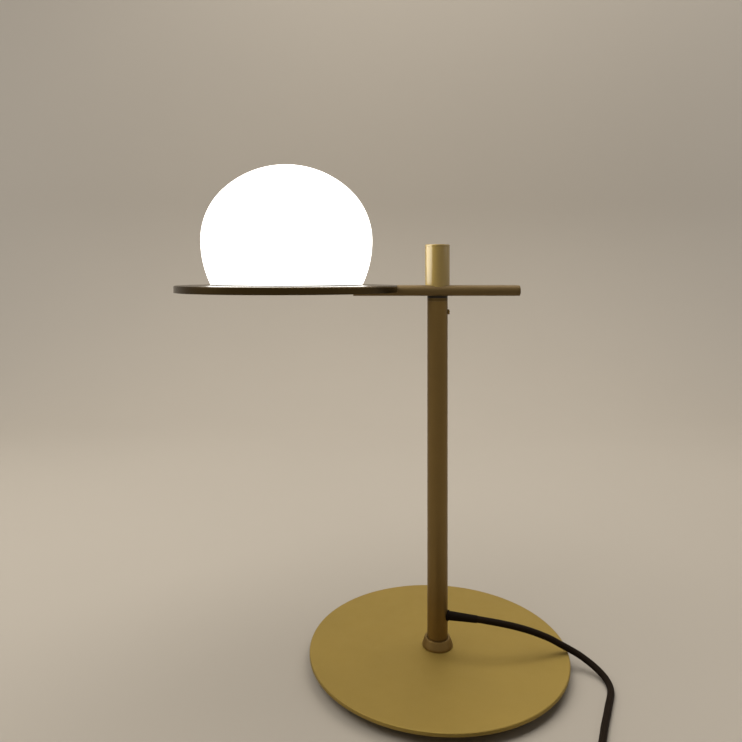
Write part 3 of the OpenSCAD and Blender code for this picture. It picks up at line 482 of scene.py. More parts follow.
def mix_finishes():
    """Makes every finish under the record's slot; those of post, arm, head and paper have own names."""
    tones = bpy.context.scene.lamp_finishes
    bronze = tones.bronze
    black = tones.black
    satin_metal("satin_gold", tones.gold, 0.7, 0.58, spread=0.03)
    satin_metal("tube_gold", bronze, 0.8, 0.42, grain=0.00001, spread=0.04)
    # The arm is a darker copy of the post's bronze: painted shade.
    satin_metal("arm_gold", shade(bronze, 0.74), 0.4, 0.6, grain=0.00001, spread=0.04)
    # The head's gold is partly its lacquered finish and partly painted light from the globe, which makes it
    # lighter than the post's bronze.
    satin_metal(
        "head_gold", tones.head, 0.2, 0.5, grain=0.000004, spread=0.03, Coat_Weight=1.0, Coat_IOR=1.7,
        Coat_Roughness=0.13)
    # The saucer is a much darker copy of the post's bronze: painted shade of its rim, which stands in shade
    # under the lit globe.
    satin_metal("saucer_gold", shade(bronze, 0.27), 0.9, 0.24, grain=0.000003, spread=0.04)
    moulded("ballast_iron", (0.035, 0.034, 0.033), 0.7, 600, 0.0002, Metallic=0.4)
    moulded("foot_rubber", (0.018, 0.018, 0.018), 0.85, 900, 0.0001)
    turned_metal("zinc_steel", (0.52, 0.53, 0.54), 0.32, (300, 300, 2000))
    turned_metal("bush_brass", (0.56, 0.40, 0.15), 0.3, (60, 60, 3000))
    satin_metal("dark_steel", (0.032, 0.028, 0.022), 0.8, 0.4)
    # The swivel washer is a real part in a darker copy of the bronze; its dark tone is painted shade under
    # the arm.
    satin_metal("washer_black", shade(bronze, 0.6), 0.8, 0.4)
    moulded("grommet_rubber", (0.0085, 0.005, 0.003), 0.8, 1500, 0.00005, Specular_IOR_Level=0.1)
    moulded("anchor_plastic", (0.03, 0.03, 0.032), 0.5, 900, 0.00004)
    moulded("lead_sheath", (0.62, 0.60, 0.55), 0.4, 500, 0.00003)
    turned_metal("bare_aluminium", (0.60, 0.61, 0.62), 0.35, (2200, 120, 120))
    moulded("heat_pad", (0.30, 0.32, 0.35), 0.75, 1100, 0.00006)
    board_mask("board_white")
    chip_lens("chip_phosphor")
    moulded("terminal_white", (0.42, 0.41, 0.38), 0.35, 1300, 0.00003)
    moulded("gasket_clear", (0.34, 0.33, 0.31), 0.45, 700, 0.00004, Coat_Weight=0.2)
    turned_metal("spring_steel", (0.55, 0.56, 0.58), 0.25, (200, 2600, 200))
    opal_glass("opal_glass", tones.glow, tones.glow_strength)
    moulded("switch_black", black, 0.42, 1600, 0.00004)
    moulded("rocker_black", shade(black, 1.5), 0.25, 2000, 0.00001, Coat_Weight=0.2)
    braided("cord_textile", tones.braid, bpy.context.scene.lamp_sizes.braid_strands)
    strap_cloth("tie_strap", (0.012, 0.012, 0.013))
    moulded("plug_black", black, 0.4, 1700, 0.00004)
    sheathed_pin("pin_nickel", (0.62, 0.60, 0.55), black)
    paper_sweep("paper_sweep", tones.backdrop)


RECORD = frame["record"]
SLOT = {part["node"]: part["material_slot"] for part in RECORD["subparts"]}
BODY = {node: body for body, nodes in RECORD["behaviour"]["bodies"].items() for node in nodes}


def placed(name, mesh, finish):
    """An object at the origin for a mesh, in one finish."""
    mesh.materials.clear()
    mesh.materials.append(finish)
    made = bpy.data.objects.new(name, mesh)
    bpy.context.scene.collection.objects.link(made)
    return made


def smoothed(mesh, angle=SHARP_ANGLE):
    """Smooth faces, with edges above the angle left sharp."""
    mesh.polygons.foreach_set("use_smooth", [True] * len(mesh.polygons))
    mesh.set_sharp_from_angle(angle=math.radians(angle))
    return mesh


def applied(made):
    """The object's modifiers become plain mesh."""
    graph = bpy.context.evaluated_depsgraph_get()
    mesh = bpy.data.meshes.new_from_object(
        made.evaluated_get(graph), preserve_all_data_layers=True, depsgraph=graph)
    made.modifiers.clear()
    made.data = mesh
    return made


def standing_for(made, *nodes):
    """The piece rides with its nodes' body and is shown in their place."""
    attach(made, BODY[nodes[0]])
    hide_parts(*nodes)


def bevelled(made, width):
    """Breaks the object's sharp edges to a width in millimetres."""
    bevel = made.modifiers.new("broken edge", "BEVEL")
    bevel.width = width * MM
    bevel.segments = 2
    bevel.limit_method = "ANGLE"
    bevel.angle_limit = math.radians(BREAK_ANGLE)
    applied(made)


def dressed(node, edge, finish=None):
    """A copy of a solid with merged corners, edges broken by millimetres and smooth faces, in its place."""
    mesh = frame["nodes"][node].data.copy()
    build = bmesh.new()
    build.from_mesh(mesh)
    bmesh.ops.remove_doubles(build, verts=build.verts, dist=MERGE_GAP)
    bmesh.ops.dissolve_limit(
        build, angle_limit=math.radians(FLAT_ANGLE), verts=build.verts, edges=build.edges)
    build.to_mesh(mesh)
    build.free()
    if "custom_normal" in mesh.attributes:
        mesh.attributes.remove(mesh.attributes["custom_normal"])
    made = placed("fine_" + node, mesh, FINISHES[finish or SLOT[node]])
    if edge:
        bevelled(made, edge)
    smoothed(made.data)
    flat = made.modifiers.new("flat faces", "WEIGHTED_NORMAL")
    flat.keep_sharp = True
    standing_for(applied(made), node)


def painted(*nodes):
    """Solids that stay as they are get their finish."""
    for node in nodes:
        mesh = frame["nodes"][node].data
        mesh.materials.clear()
        mesh.materials.append(FINISHES[SLOT[node]])


def joined(build, near, far):
    """Faces between two rows of corners; a row of one corner is a closed end."""
    count = max(len(near), len(far))
    for i in range(count):
        j = (i + 1) % count
        if len(near) == 1:
            build.faces.new((near[0], far[j], far[i]))
        elif len(far) == 1:
            build.faces.new((near[i], near[j], far[0]))
        else:
            build.faces.new((near[i], near[j], far[j], far[i]))


def closed_mesh(name, build, rows, capped=False):
    """Rows of corners joined into a mesh, with flat ends if capped, and all faces pointing outwards."""
    for near, far in zip(rows, rows[1:]):
        joined(build, near, far)
    if capped:
        build.faces.new(rows[0])
        build.faces.new(rows[-1])
    bmesh.ops.recalc_face_normals(build, faces=build.faces)
    mesh = bpy.data.meshes.new(name)
    build.to_mesh(mesh)
    build.free()
    return mesh


def marked(mesh, name, test):
    """Gives the mesh an attribute that is 1 on the corners that pass the test, and 0 on the others."""
    mark = mesh.attributes.new(name, "FLOAT", "POINT")
    mark.data.foreach_set("value", [float(test(corner.co)) for corner in mesh.vertices])


def polar_mesh(name, rings, sides):
    """A closed mesh of rings (height, radius or radius by angle), its ends closed where a radius is 0."""
    build = bmesh.new()
    rows = []
    for height, radius in rings:
        if radius == 0:
            rows.append([build.verts.new((0, 0, height))])
            continue
        row = []
        for i in range(sides):
            angle = math.tau * i / sides
            reach = radius(angle) if callable(radius) else radius
            row.append(build.verts.new((reach * math.cos(angle), reach * math.sin(angle), height)))
        rows.append(row)
    return closed_mesh(name, build, rows)


def folded(angle, sides):
    """The angle from the middle of the nearest of a shape's equal sides."""
    half = math.pi / sides
    return (angle + half) % (2 * half) - half


def cross_slot(reach, half_width):
    """Radius by angle of a cross-shaped recess."""
    def radius(angle):
        off = folded(angle, 4)
        return min(reach / math.cos(off), half_width / max(abs(math.sin(off)), 1e-6))
    return radius


def hex_slot(across):
    """Radius by angle of a hexagon recess."""
    def radius(angle):
        return across / 2 / math.cos(folded(angle, 6))
    return radius


def rounded_square(side, corner):
    """Radius by angle of a square with rounded corners."""
    def radius(angle):
        flat = side / 2 / math.cos(folded(angle, 4))
        return min(flat, side / 2 * math.sqrt(2) - corner * (math.sqrt(2) - 1))
    return radius


class Recipe(Graph):
    """A geometry node tree with named inputs that ends in plain, finished mesh."""

    KINDS = {
        float: "NodeSocketFloat", int: "NodeSocketInt", bpy.types.Object: "NodeSocketObject",
        bpy.types.Material: "NodeSocketMaterial"}

    def __init__(self, name, **inputs):
        super().__init__(bpy.data.node_groups.new(name, "GeometryNodeTree"))
        face = self.tree.interface
        face.new_socket("Geometry", in_out="INPUT", socket_type="NodeSocketGeometry")
        self.names = {}
        for key, kind in dict(inputs, finish=bpy.types.Material).items():
            socket = face.new_socket(key.capitalize(), in_out="INPUT", socket_type=self.KINDS[kind])
            self.names[key] = socket.identifier
        face.new_socket("Geometry", in_out="OUTPUT", socket_type="NodeSocketGeometry")
        source = self.add("NodeGroupInput")
        self.start = source.outputs["Geometry"]
        self.given = {key: source.outputs[key.capitalize()] for key in self.names}

    def end(self, geometry):
        """Realizes, finishes and puts out the geometry."""
        real = self.add("GeometryNodeRealizeInstances", {"Geometry": geometry})
        finished = self.add("GeometryNodeSetMaterial", {"Geometry": real, "Material": self.given["finish"]})
        self.add("NodeGroupOutput", {"Geometry": finished})
        return self

    def made(self, name, mesh, finish, **values):
        """A piece that this recipe makes from a mesh."""
        piece = placed(name, mesh, finish)
        modifier = piece.modifiers.new("recipe", "NODES")
        modifier.node_group = self.tree
        for key, value in dict(values, finish=finish).items():
            modifier[self.names[key]] = value
        return applied(piece)


def cord_recipe():
    """A round cord along a line, with its measures kept for the braid."""
    recipe = Recipe("cord along a route", diameter=float, sides=int, step=float, lay=float)
    radius = recipe.math("MULTIPLY", recipe.given["diameter"], 0.5)
    line = recipe.add("GeometryNodeMeshToCurve", {"Mesh": recipe.start})
    even = recipe.add("GeometryNodeResampleCurve", {
        "Curve": line, "Length": recipe.given["step"]}, mode="LENGTH")
    length = recipe.add("GeometryNodeSplineParameter").outputs["Length"]
    turns = recipe.math("DIVIDE", length, recipe.given["lay"])
    measured = recipe.add("GeometryNodeStoreNamedAttribute", {
        "Geometry": even, "Name": "turns", "Value": turns}, data_type="FLOAT", domain="POINT")
    ring = recipe.add("GeometryNodeCurvePrimitiveCircle", {
        "Resolution": recipe.given["sides"], "Radius": radius})
    spot = recipe.add("GeometryNodeInputPosition")
    outward = recipe.add("ShaderNodeVectorMath", {0: spot}, operation="NORMALIZE")
    profile = recipe.add("GeometryNodeStoreNamedAttribute", {
        "Geometry": ring, "Name": "round", "Value": outward}, data_type="FLOAT_VECTOR", domain="POINT")
    tube = recipe.add("GeometryNodeCurveToMesh", {
        "Curve": measured, "Profile Curve": profile, "Fill Caps": True})
    smooth = recipe.add("GeometryNodeSetShadeSmooth", {"Geometry": tube})
    return recipe.end(smooth)


def setting_recipe():
    """One part set out on every point of a mesh, turned by the point's own angle."""
    recipe = Recipe("parts set out on points", part=bpy.types.Object)
    part = recipe.add("GeometryNodeObjectInfo", {"Object": recipe.given["part"]}).outputs["Geometry"]
    turn = recipe.add("GeometryNodeInputNamedAttribute", {"Name": "turn"}, data_type="FLOAT")
    angles = recipe.add("ShaderNodeCombineXYZ", {"Z": turn})
    points = recipe.add("GeometryNodeMeshToPoints", {"Mesh": recipe.start})
    parts = recipe.add("GeometryNodeInstanceOnPoints", {
        "Points": points, "Instance": part, "Rotation": angles})
    return recipe.end(parts)


def rib_recipe():
    """A tapered sleeve along Z with rounded ribs round it."""
    recipe = Recipe("ribbed sleeve", length=float, ribs=int, thin=float, thick=float, rib=float)
    given = recipe.given
    cone = recipe.add("GeometryNodeMeshCone", {
        "Vertices": SLEEVE_SIDES, "Side Segments": SLEEVE_STEPS,
        "Radius Top": given["thick"], "Radius Bottom": given["thin"], "Depth": given["length"]})
    gap = recipe.math("DIVIDE", given["length"], recipe.math("ADD", given["ribs"], 1.0))
    step = recipe.add("ShaderNodeCombineXYZ", {"Z": gap})
    line = recipe.add("GeometryNodeMeshLine", {
        "Count": given["ribs"], "Start Location": step, "Offset": step})
    ring, bead = [
        recipe.add("GeometryNodeCurvePrimitiveCircle", {"Resolution": sides, "Radius": given[radius]})
        for sides, radius in ((SLEEVE_SIDES, "thick"), (BEAD_SIDES, "rib"))]
    torus = recipe.add("GeometryNodeCurveToMesh", {"Curve": ring, "Profile Curve": bead})
    ribs = recipe.add("GeometryNodeInstanceOnPoints", {"Points": line, "Instance": torus})
    both = recipe.add("GeometryNodeJoinGeometry")
    for part in (cone, ribs):
        recipe.feed(both.inputs["Geometry"], part)
    smooth = recipe.add("GeometryNodeSetShadeSmooth", {"Geometry": both})
    return recipe.end(smooth)


def ring_spots(count, radius, turn):
    """Spots (x, y, angle) evenly round a centre, in millimetres and radians."""
    angles = [math.radians(turn + 360 * i / count) for i in range(count)]
    return [(radius * math.cos(angle), radius * math.sin(angle), angle) for angle in angles]


def set_out(name, node, part, centre, level, spots, moved=Matrix()):
    """Copies of a part mesh at spots (x, y, angle) about a centre, moved as one piece, for a node."""
    finish = FINISHES[SLOT[node]]
    mould = placed(name + "_mould", part, finish)
    mesh = bpy.data.meshes.new(name)
    mesh.from_pydata([
        ((centre[0] + x) * MM, (centre[1] + y) * MM, level * MM) for x, y, _ in spots], [], [])
    turn = mesh.attributes.new("turn", "FLOAT", "POINT")
    turn.data.foreach_set("value", [angle for _, _, angle in spots])
    made = setting_recipe().made(name, mesh, finish, part=mould)
    bpy.data.objects.remove(mould)
    made.data.transform(moved)
    standing_for(made, node)


def screw_mesh(thread_d, head_d, head_h, length):
    """A pan-head screw with a cross recess, its head up and its seat at height 0."""
    r, h = head_d / 2 * MM, head_h * MM
    slot = cross_slot(0.62 * r, 0.16 * r)
    return smoothed(polar_mesh("screw", [
        (-length * MM, 0), (-length * MM, thread_d / 2 * MM), (0, thread_d / 2 * MM), (0, 0.96 * r),
        (0.08 * h, r), (0.4 * h, r), (0.72 * h, 0.93 * r), (0.92 * h, 0.8 * r), (h, 0.66 * r), (h, slot),
        (0.45 * h, lambda angle: 0.7 * slot(angle)), (0.4 * h, 0)], SCREW_SIDES))


def mixed(a, b, start, end, now):
    """A place from a to b, as now goes from start to end."""
    return a * ((end - now) / (end - start)) + b * ((now - start) / (end - start))


def smooth_line(points, step):
    """A smooth line through points, with places about a step apart."""
    ends = [2 * points[0] - points[1], *points, 2 * points[-1] - points[-2]]
    line = []
    for a, b, c, d in zip(ends, ends[1:], ends[2:], ends[3:]):
        count = max(1, round((c - b).length / step))
        knots = [0.0]
        for p, q in ((a, b), (b, c), (c, d)):
            knots.append(knots[-1] + max((q - p).length, 1e-9) ** 0.5)
        t0, t1, t2, t3 = knots
        for i in range(count):
            t = t1 + (t2 - t1) * i / count
            ab = mixed(a, b, t0, t1, t)
            bc = mixed(b, c, t1, t2, t)
            cd = mixed(c, d, t2, t3, t)
            line.append(mixed(mixed(ab, bc, t0, t2, t), mixed(bc, cd, t1, t3, t), t1, t2, t))
    return line + [points[-1]]


def exit_place(reach):
    """A place on the axis of the cord's exit, at a distance from the post's axis."""
    turn = math.radians(EXIT_TURN)
    return (reach * math.cos(turn), reach * math.sin(turn), EXIT_Z)


def lead_route():
    """The cord from inside the post, over the base's rim and along the floor, into the switch."""
    low = CORD_D / 2
    rim = BASE_TOP + low + RIM_GAP
    x, y, z = SWITCH_AT
    points = [exit_place(reach) for reach in (
        LEAD_INSIDE, POST_R, POST_R + 0.4 * RELIEF_L, POST_R + 0.8 * RELIEF_L,
        POST_R + RELIEF_L + RELIEF_CLEAR)]
    for stretch, foot, top in ((HANG, rim, EXIT_Z), (FALL, low, rim), (RISE, low, z)):
        points += [(px * BASE_R, py * BASE_R, foot + share * (top - foot)) for px, py, share in stretch]
    points += [(x + SWITCH_L / 2 + CORD_STRAIGHT, y, z), (x + SWITCH_L / 2 - SWITCH_BITE, y, z)]
    return [Vector(point) * MM for point in points]


def coil_place(angle):
    """A place on the coil: in on the lower layer, up in a half turn, and out on the upper layer."""
    reach = COIL_R + COIL_PITCH * abs(COIL_MID - angle) / 360
    rise = max(0.0, min(1.0, (angle - COIL_MID + COIL_CLIMB) / (2 * COIL_CLIMB)))
    turn = math.radians(angle)
    ease = rise * rise * (3 - 2 * rise)
    level = COIL_Z + COIL_LAYER * ease
    return Vector((COIL_AT[0] + reach * math.cos(turn), COIL_AT[1] + reach * math.sin(turn), level)) * MM


def coil_heading(angle):
    """Which way the cord runs at an angle of the coil."""
    turn = math.radians(angle)
    return Vector((-math.sin(turn), math.cos(turn), 0))


def plug_place():
    """Where the plug's cord end lies, and which way it points."""
    way = coil_heading(COIL_END)
    end = coil_place(COIL_END) + way * ((CORD_STRAIGHT + TAIL_L) * MM)
    return Vector((end.x, end.y, PLUG_T / 2 * MM)), way


def coil_route():
    """The cord from the switch into the coil, round its turns and out to the plug."""
    x, y, z = SWITCH_AT
    first = coil_place(COIL_START) - coil_heading(COIL_START) * CORD_STRAIGHT * MM
    start = Vector((x - SWITCH_L / 2 - CORD_STRAIGHT, y, z)) * MM
    points = [Vector((x - SWITCH_L / 2 + SWITCH_BITE, y, z)) * MM, start]
    for share, drop in DIP:
        level = (z + drop * (COIL_Z - z)) * MM
        points.append(Vector((start.x + share * (first.x - start.x), start.y, level)))
    points += [first] + [coil_place(angle) for angle in range(COIL_START, COIL_END + 1, COIL_STEP)]
    plug, way = plug_place()
    leave = coil_place(COIL_END) + way * CORD_STRAIGHT * MM
    near = leave + way * CORD_STRAIGHT * MM
    far = plug - way * CORD_STRAIGHT * MM
    return points + [leave, near, (near + far) / 2, far, plug + way * PLUG_BITE * MM]


class LAMP_OT_cord(bpy.types.Operator):
    """Braided cord from the post to the switch, and from the switch through its coil to the plug"""

    bl_idname = "lamp.cord"
    bl_label = "Cord"

    def execute(self, context):
        sizes = context.scene.lamp_sizes
        recipe = cord_recipe()
        switch = ["fine_switch_base", "fine_switch_cover", "fine_switch_rocker", "switch_screw_pair"]
        plug = ["plug_grip", "plug_ribs", "plug_pin_pair", "tie_loop"]
        x, y, z = SWITCH_AT
        leads = [
            ("lead_cord", lead_route(), ["cord_run"],
             Vector(exit_place(POST_R)) * MM, "fitting", "loose", switch),
            ("coil_cord", coil_route(), ["cord_link", "cord_coil", "cord_tail"],
             Vector((x - SWITCH_L / 2, y, z)) * MM, "plug", "coiled", plug),
        ]
        for name, points, nodes, way_out, far_end, lay, pieces in leads:
            line = smooth_line(points, ROUTE_STEP * MM)
            mesh = bpy.data.meshes.new(name)
            mesh.from_pydata(line, [(i, i + 1) for i in range(len(line) - 1)], [])
            made = recipe.made(
                name, mesh, FINISHES["cord_textile"], diameter=sizes.cord_diameter, sides=CORD_SIDES,
                step=CORD_STEP * MM, lay=sizes.braid_lay)
            standing_for(made, *nodes)
        return {"FINISHED"}


class LAMP_OT_base(bpy.types.Operator):
    """Base plate with its ballast, pad and fastenings"""

    bl_idname = "lamp.base"
    bl_label = "Base"

    def execute(self, context):
        dressed("base_plate", 0.3)
        dressed("ballast", 0.8)
        dressed("foot_pad", 0.5)
        painted("ballast_screws", "post_bolt", "bolt_washer", "foot_plug")
        return {"FINISHED"}


class LAMP_OT_post(bpy.types.Operator):
    """Post tube with its collar, grommet, swivel washer and stop screw"""

    bl_idname = "lamp.post"
    bl_label = "Post"

    def execute(self, context):
        dressed("post_tube", 0.3, "tube_gold")
        dressed("foot_collar", 0.6, "tube_gold")
        dressed("cord_grommet", 0.12)
        dressed("swivel_washer", 0.3)
        painted("cord_anchor", "post_lead", "swivel_bush")
        key = hex_slot(STOP_KEY)
        mesh = polar_mesh("stop_screw", [
            (5.1, 0), (5.1, 1.4), (5.3, 1.5), (6.3, 1.5), (6.3, 2.0), (9.85, 2.0), (9.85, 2.35), (10.0, 2.5),
            (10.95, 2.5), (11.3, 2.3), (11.45, 2.0), (11.45, lambda angle: 1.06 * key(angle)), (11.35, key),
            (10.65, key), (10.55, 0)], SCREW_SIDES)
        sideways = Matrix.Rotation(math.pi / 2, 4, "Y")
        mesh.transform(Matrix.Translation((0, 0, STOP_Z * MM)) @ sideways @ Matrix.Scale(MM, 4))
        standing_for(placed("stop_screw_hex", smoothed(mesh), FINISHES["tube_gold"]), "stop_screw")
        return {"FINISHED"}


class LAMP_OT_arm(bpy.types.Operator):
    """Flat oval arm with its end cap, tongue, spindle and tongue screws"""

    bl_idname = "lamp.arm"
    bl_label = "Arm"

    def execute(self, context):
        dressed("arm_tube", 0.12, "arm_gold")
        dressed("arm_end_cap", 0.5, "arm_gold")
        dressed("arm_tongue", 0.3)
        dressed("spindle", 0.2)
        painted("arm_sleeve", "arm_lead")
        screw = screw_mesh(*METAL_SCREW, length=5.0)
        set_out("tongue_screw_pair", "tongue_screws", screw, SAUCER_AT, ARM_TOP, TONGUE_SCREWS)
        return {"FINISHED"}


class LAMP_OT_head(bpy.types.Operator):
    """Head above the arm, with its cap"""

    bl_idname = "lamp.head"
    bl_label = "Head"

    def execute(self, context):
        dressed("head", 0.2, "head_gold")
        dressed("head_cap", 0.25, "head_gold")
        return {"FINISHED"}


class LAMP_OT_saucer(bpy.types.Operator):
    """Saucer that carries the globe"""

    bl_idname = "lamp.saucer"
    bl_label = "Saucer"

    def execute(self, context):
        dressed("saucer", 0.25)
        return {"FINISHED"}


class LAMP_OT_light(bpy.types.Operator):
    """Light board with its chips, terminal and screws"""

    bl_idname = "lamp.light"
    bl_label = "Light board"

    def execute(self, context):
        painted("led_pad")
        dressed("led_board", 0.15)
        dressed("lead_terminal", 0.5)
        square = rounded_square(CHIP_SIDE, CHIP_CORNER)
        chip = polar_mesh("chip", [
            (0, 0), (0, square), (0.62, square), (0.8, lambda angle: 0.92 * square(angle)), (0.8, 1.3),
            (0.66, 1.15), (0.66, 0)], CHIP_SIDES)
        marked(chip, "phosphor", lambda spot: spot.z > 0.6 and spot.xy.length < 1.2)
        chip.transform(Matrix.Scale(MM, 4))
        spots = ring_spots(*INNER_CHIPS) + ring_spots(*OUTER_CHIPS)
        set_out("chip_rings", "led_chips", chip, SAUCER_AT, BOARD_TOP, spots)
        screw = screw_mesh(*METAL_SCREW, length=3.9)
        set_out("board_screw_ring", "led_screws", screw, SAUCER_AT, BOARD_TOP, ring_spots(*BOARD_SCREWS))
        return {"FINISHED"}


class LAMP_OT_globe(bpy.types.Operator):
    """Opal globe with its ring, gasket and clips"""

    bl_idname = "lamp.globe"
    bl_label = "Globe"

    def execute(self, context):
        dressed("globe", 0)
        dressed("globe_ring", 0.15)
        dressed("globe_gasket", 0.15)
        dressed("globe_clips", 0.1)
        screw = screw_mesh(*METAL_SCREW, length=2.3)
        set_out("clip_screw_ring", "clip_screws", screw, SAUCER_AT, CLIP_TOP, ring_spots(*CLIP_SCREWS))
        return {"FINISHED"}


class LAMP_OT_switch(bpy.types.Operator):
    """In-line switch with its rocker and screws"""

    bl_idname = "lamp.switch"
    bl_label = "Switch"

    def execute(self, context):
        dressed("switch_base", 0.35)
        dressed("switch_cover", 0.35)
        dressed("switch_rocker", 0.5)
        painted("switch_contact")
        screw = screw_mesh(*SWITCH_SCREW, length=11.2)
        screw.transform(Matrix.Rotation(math.pi, 4, "X"))
        set_out("switch_screw_pair", "switch_screws", screw, SWITCH_AT, SWITCH_SCREW_Z, SWITCH_SCREWS)
        return {"FINISHED"}


def squared(share, power):
    """A sine or cosine drawn out towards a square's side."""
    return math.copysign(abs(share) ** (2 / power), share)


def loft_mesh(name, sections, sides):
    """A closed mesh through sections (x, half width, half height, power) of rounded rectangles."""
    build = bmesh.new()
    rows = []
    for x, wide, high, power in sections:
        row = []
        for i in range(sides):
            angle = math.tau * i / sides
            across = wide * squared(math.cos(angle), power)
            up = high * squared(math.sin(angle), power)
            row.append(build.verts.new((x, across, up)))
        rows.append(row)
    return closed_mesh(name, build, rows, capped=True)


class LAMP_OT_plug(bpy.types.Operator):
    """Plug with its grip, ribbed sleeve and pins"""

    bl_idname = "lamp.plug"
    bl_label = "Plug"

    def execute(self, context):
        place, way = plug_place()
        at_plug = Matrix.Translation(place) @ Matrix.Rotation(math.atan2(way.y, way.x), 4, "Z")
        along = at_plug @ Matrix.Rotation(math.pi / 2, 4, "Y")
        wide, high = PLUG_W / 2, PLUG_T / 2
        sections = [
            (0, 5.6, 4.6, 2.4), (0.5, 7.6, 5.6, 2.6), (1.5, 8.6, 6.2, 2.8), (4, 9.6, 6.5, 3.0),
            (7, 12.0, 6.65, 3.2), (10, 15.0, 6.75, 3.4), (12.5, 16.9, high, 3.6),
            (14, 17.4, high, PLUG_POWER)]
        for i in range(RIPPLES * RIPPLE_STEPS + 1):
            ripple = RIPPLE_DEPTH * math.sin(math.pi * i / RIPPLE_STEPS) ** 2
            x = RIPPLE_FROM + i * RIPPLE_L / RIPPLE_STEPS
            sections.append((x, wide - ripple, high - RIPPLE_FLAT * ripple, PLUG_POWER))
        sections += [(x, half_wide, half_high, PLUG_POWER) for x, half_wide, half_high in (
            (30.5, wide, high), (34, wide, high), (35.3, 17.2, 6.6), (35.8, 16.7, 6.2), (PLUG_L, 16.0, 5.7))]
        sections = [(PLUG_SLEEVE_L + x, *section) for x, *section in sections]
        grip = loft_mesh("plug_grip", sections, GRIP_SIDES)
        grip.transform(at_plug @ Matrix.Scale(MM, 4))
        standing_for(placed("plug_grip", smoothed(grip, MOULDED_ANGLE), FINISHES["plug_black"]), "plug_body")
        sleeve = rib_recipe().made(
            "plug_ribs", bpy.data.meshes.new("plug_ribs"), FINISHES["plug_black"],
            length=PLUG_SLEEVE_L * MM, ribs=6, thin=4 * MM, thick=4.9 * MM, rib=0.75 * MM)
        sleeve.data.transform(along)
        standing_for(sleeve, "plug_sleeve")
        pin = polar_mesh("pin", [
            (0, 0), (0, 2.0), (15, 2.0), (15.1, 1.96), (15.2, 1.9), (22.6, 1.9), (23.8, 1.75), (24.6, 1.3),
            (25, 0.7), (25.1, 0)], PIN_SIDES)
        marked(pin, "sheath", lambda spot: spot.z < PIN_SHEATH)
        pin.transform(Matrix.Scale(MM, 4))
        spots = [(0, side * PIN_APART / 2, 0) for side in (-1, 1)]
        face = along @ Matrix.Translation((0, 0, (PLUG_SLEEVE_L + PLUG_L - PIN_BITE) * MM))
        set_out("plug_pin_pair", "plug_pins", smoothed(pin, MOULDED_ANGLE), (0, 0), 0, spots, face)
        return {"FINISHED"}


def strap_mesh(name, line, thick, wide):
    """A loop of strap of that thickness and width along a line of (place, outward) in the XZ plane."""
    build = bmesh.new()
    weave = build.verts.layers.float_vector.new("weave")
    rows = []
    run = 0.0
    for i, (spot, out) in enumerate(line):
        if i:
            run += (spot - line[i - 1][0]).length
        row = []
        for side, lift in ((-1, 0), (1, 0), (1, 1), (-1, 1)):
            corner = build.verts.new(spot + out * (lift * thick) + Vector((0, side * wide / 2, 0)))
            corner[weave] = (run, side * wide / 2, 0)
            row.append(corner)
        rows.append(row)
    return closed_mesh(name, build, rows + rows[:1])


class LAMP_OT_tie(bpy.types.Operator):
    """Woven tie round the coil"""

    bl_idname = "lamp.tie"
    bl_label = "Cord tie"

    def execute(self, context):
        low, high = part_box("cord_tie")
        thick, corner = TIE_T * MM, TIE_CORNER * MM
        left, right = low.x + thick + corner, high.x - thick - corner
        bottom, top = low.z + thick + corner, high.z - thick - corner
        middle = (low.y + high.y) / 2
        line = []
        for x, z, start in ((right, top, 0), (left, top, 90), (left, bottom, 180), (right, bottom, 270)):
            for step in range(TIE_STEPS + 1):
                turn = math.radians(start + 90 / TIE_STEPS * step)
                out = Vector((math.cos(turn), 0, math.sin(turn)))
                line.append((Vector((x, middle, z)) + out * corner, out))
        loop = strap_mesh("tie_loop", line, thick, high.y - low.y)
        made = placed("tie_loop", loop, FINISHES["tie_strap"])
        bevelled(made, TIE_EDGE)
        smoothed(made.data, STRAP_ANGLE)
        standing_for(made, "cord_tie")
        return {"FINISHED"}


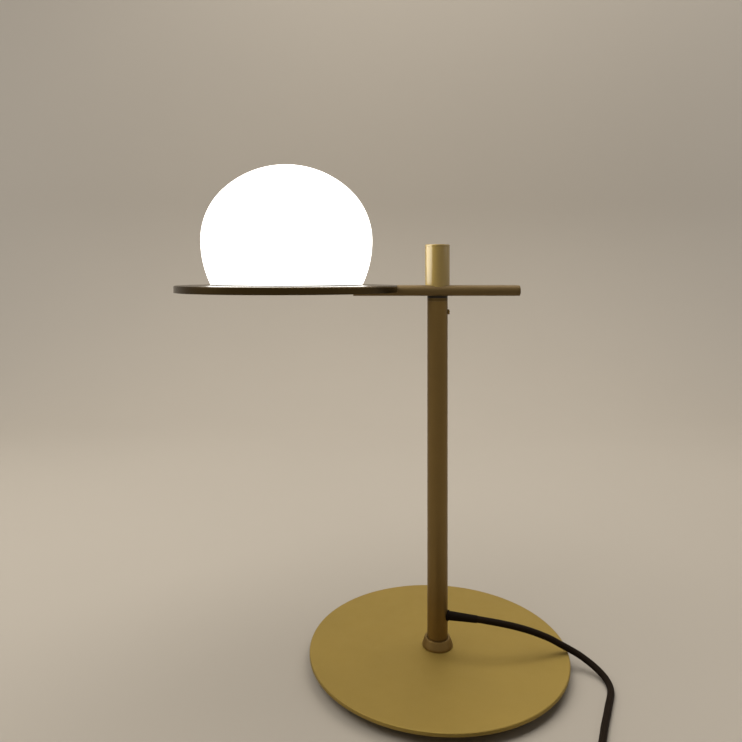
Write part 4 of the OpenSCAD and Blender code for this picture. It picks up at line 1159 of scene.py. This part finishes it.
class LAMP_OT_stage(bpy.types.Operator):
    """Pale sweep, soft lights and the camera"""

    bl_idname = "lamp.stage"
    bl_label = "Stage"

    def execute(self, context):
        scene = context.scene
        profile = [(SWEEP_FRONT, 0.0), (SWEEP_RISE, 0.0)]
        for step in range(1, SWEEP_STEPS + 1):
            turn = math.radians(90 * step / SWEEP_STEPS)
            profile.append((SWEEP_RISE + SWEEP_BEND * math.sin(turn), SWEEP_BEND * (1 - math.cos(turn))))
        profile.append((SWEEP_RISE + SWEEP_BEND, SWEEP_TOP))
        verts = [(side * SWEEP_HALF, y, z) for y, z in profile for side in (-1, 1)]
        faces = [(2 * i, 2 * i + 1, 2 * i + 3, 2 * i + 2) for i in range(len(profile) - 1)]
        mesh = bpy.data.meshes.new("sweep")
        mesh.from_pydata(verts, [], faces)
        sweep = placed("sweep", smoothed(mesh, SWEEP_ANGLE), FINISHES["paper_sweep"])
        for name, spot, aim, size, power in LIGHTS:
            lamp = bpy.data.lights.new(name, "AREA")
            lamp.shape = "RECTANGLE"
            lamp.size, lamp.size_y = size
            lamp.energy = power
            lamp.color = LIGHT_TINT
            stand = bpy.data.objects.new(name, lamp)
            stand.location = spot
            stand.rotation_euler = (Vector(aim) - Vector(spot)).to_track_quat("-Z", "Y").to_euler()
            scene.collection.objects.link(stand)
        world = bpy.data.worlds.new("studio")
        world.use_nodes = True
        room = Graph(world.node_tree)
        sky = world.node_tree.nodes["Background"]
        sky.inputs["Color"].default_value = ROOM_TONE
        shown = room.math("MULTIPLY", room.seen(), ROOM_SHOWN - ROOM_LIGHT)
        room.feed(sky.inputs["Strength"], room.math("ADD", shown, ROOM_LIGHT))
        scene.world = world
        scene.view_settings.view_transform = "Standard"
        camera = bpy.data.cameras.new("camera")
        camera.sensor_fit = "HORIZONTAL"
        camera.sensor_width = CAMERA_SENSOR
        camera.lens = scene.lamp_sizes.lens
        camera.shift_y = CAMERA_SHIFT
        camera.clip_start = CAMERA_NEAR
        view = bpy.data.objects.new("camera", camera)
        view.location = CAMERA_AT
        view.rotation_euler = (math.pi / 2, 0, 0)
        scene.collection.objects.link(view)
        scene.camera = view
        return {"FINISHED"}


PIECES = (
    LAMP_OT_base, LAMP_OT_post, LAMP_OT_arm, LAMP_OT_head, LAMP_OT_saucer, LAMP_OT_light, LAMP_OT_globe,
    LAMP_OT_switch, LAMP_OT_plug, LAMP_OT_tie, LAMP_OT_cord, LAMP_OT_stage)


class LAMP_PT_panel(bpy.types.Panel):
    """Pieces of the lamp in the sidebar"""

    bl_label = "Table lamp"
    bl_idname = "LAMP_PT_panel"
    bl_space_type = "VIEW_3D"
    bl_region_type = "UI"
    bl_category = "Lamp"

    def draw(self, context):
        for group in (context.scene.lamp_sizes, context.scene.lamp_finishes):
            for name in group.__annotations__:
                self.layout.prop(group, name)
        for piece in PIECES:
            self.layout.operator(piece.bl_idname)


CLASSES = (LampSizes, LampFinishes, *PIECES, LAMP_PT_panel)


def register():
    for kind in CLASSES:
        bpy.utils.register_class(kind)
    bpy.types.Scene.lamp_sizes = PointerProperty(type=LampSizes)
    bpy.types.Scene.lamp_finishes = PointerProperty(type=LampFinishes)


def unregister():
    del bpy.types.Scene.lamp_finishes
    del bpy.types.Scene.lamp_sizes
    for kind in reversed(CLASSES):
        bpy.utils.unregister_class(kind)


def main():
    """Makes every piece in order."""
    register()
    mix_finishes()
    for piece in PIECES:
        group, name = piece.bl_idname.split(".")
        getattr(getattr(bpy.ops, group), name)()


if __name__ == "__main__":
    main()
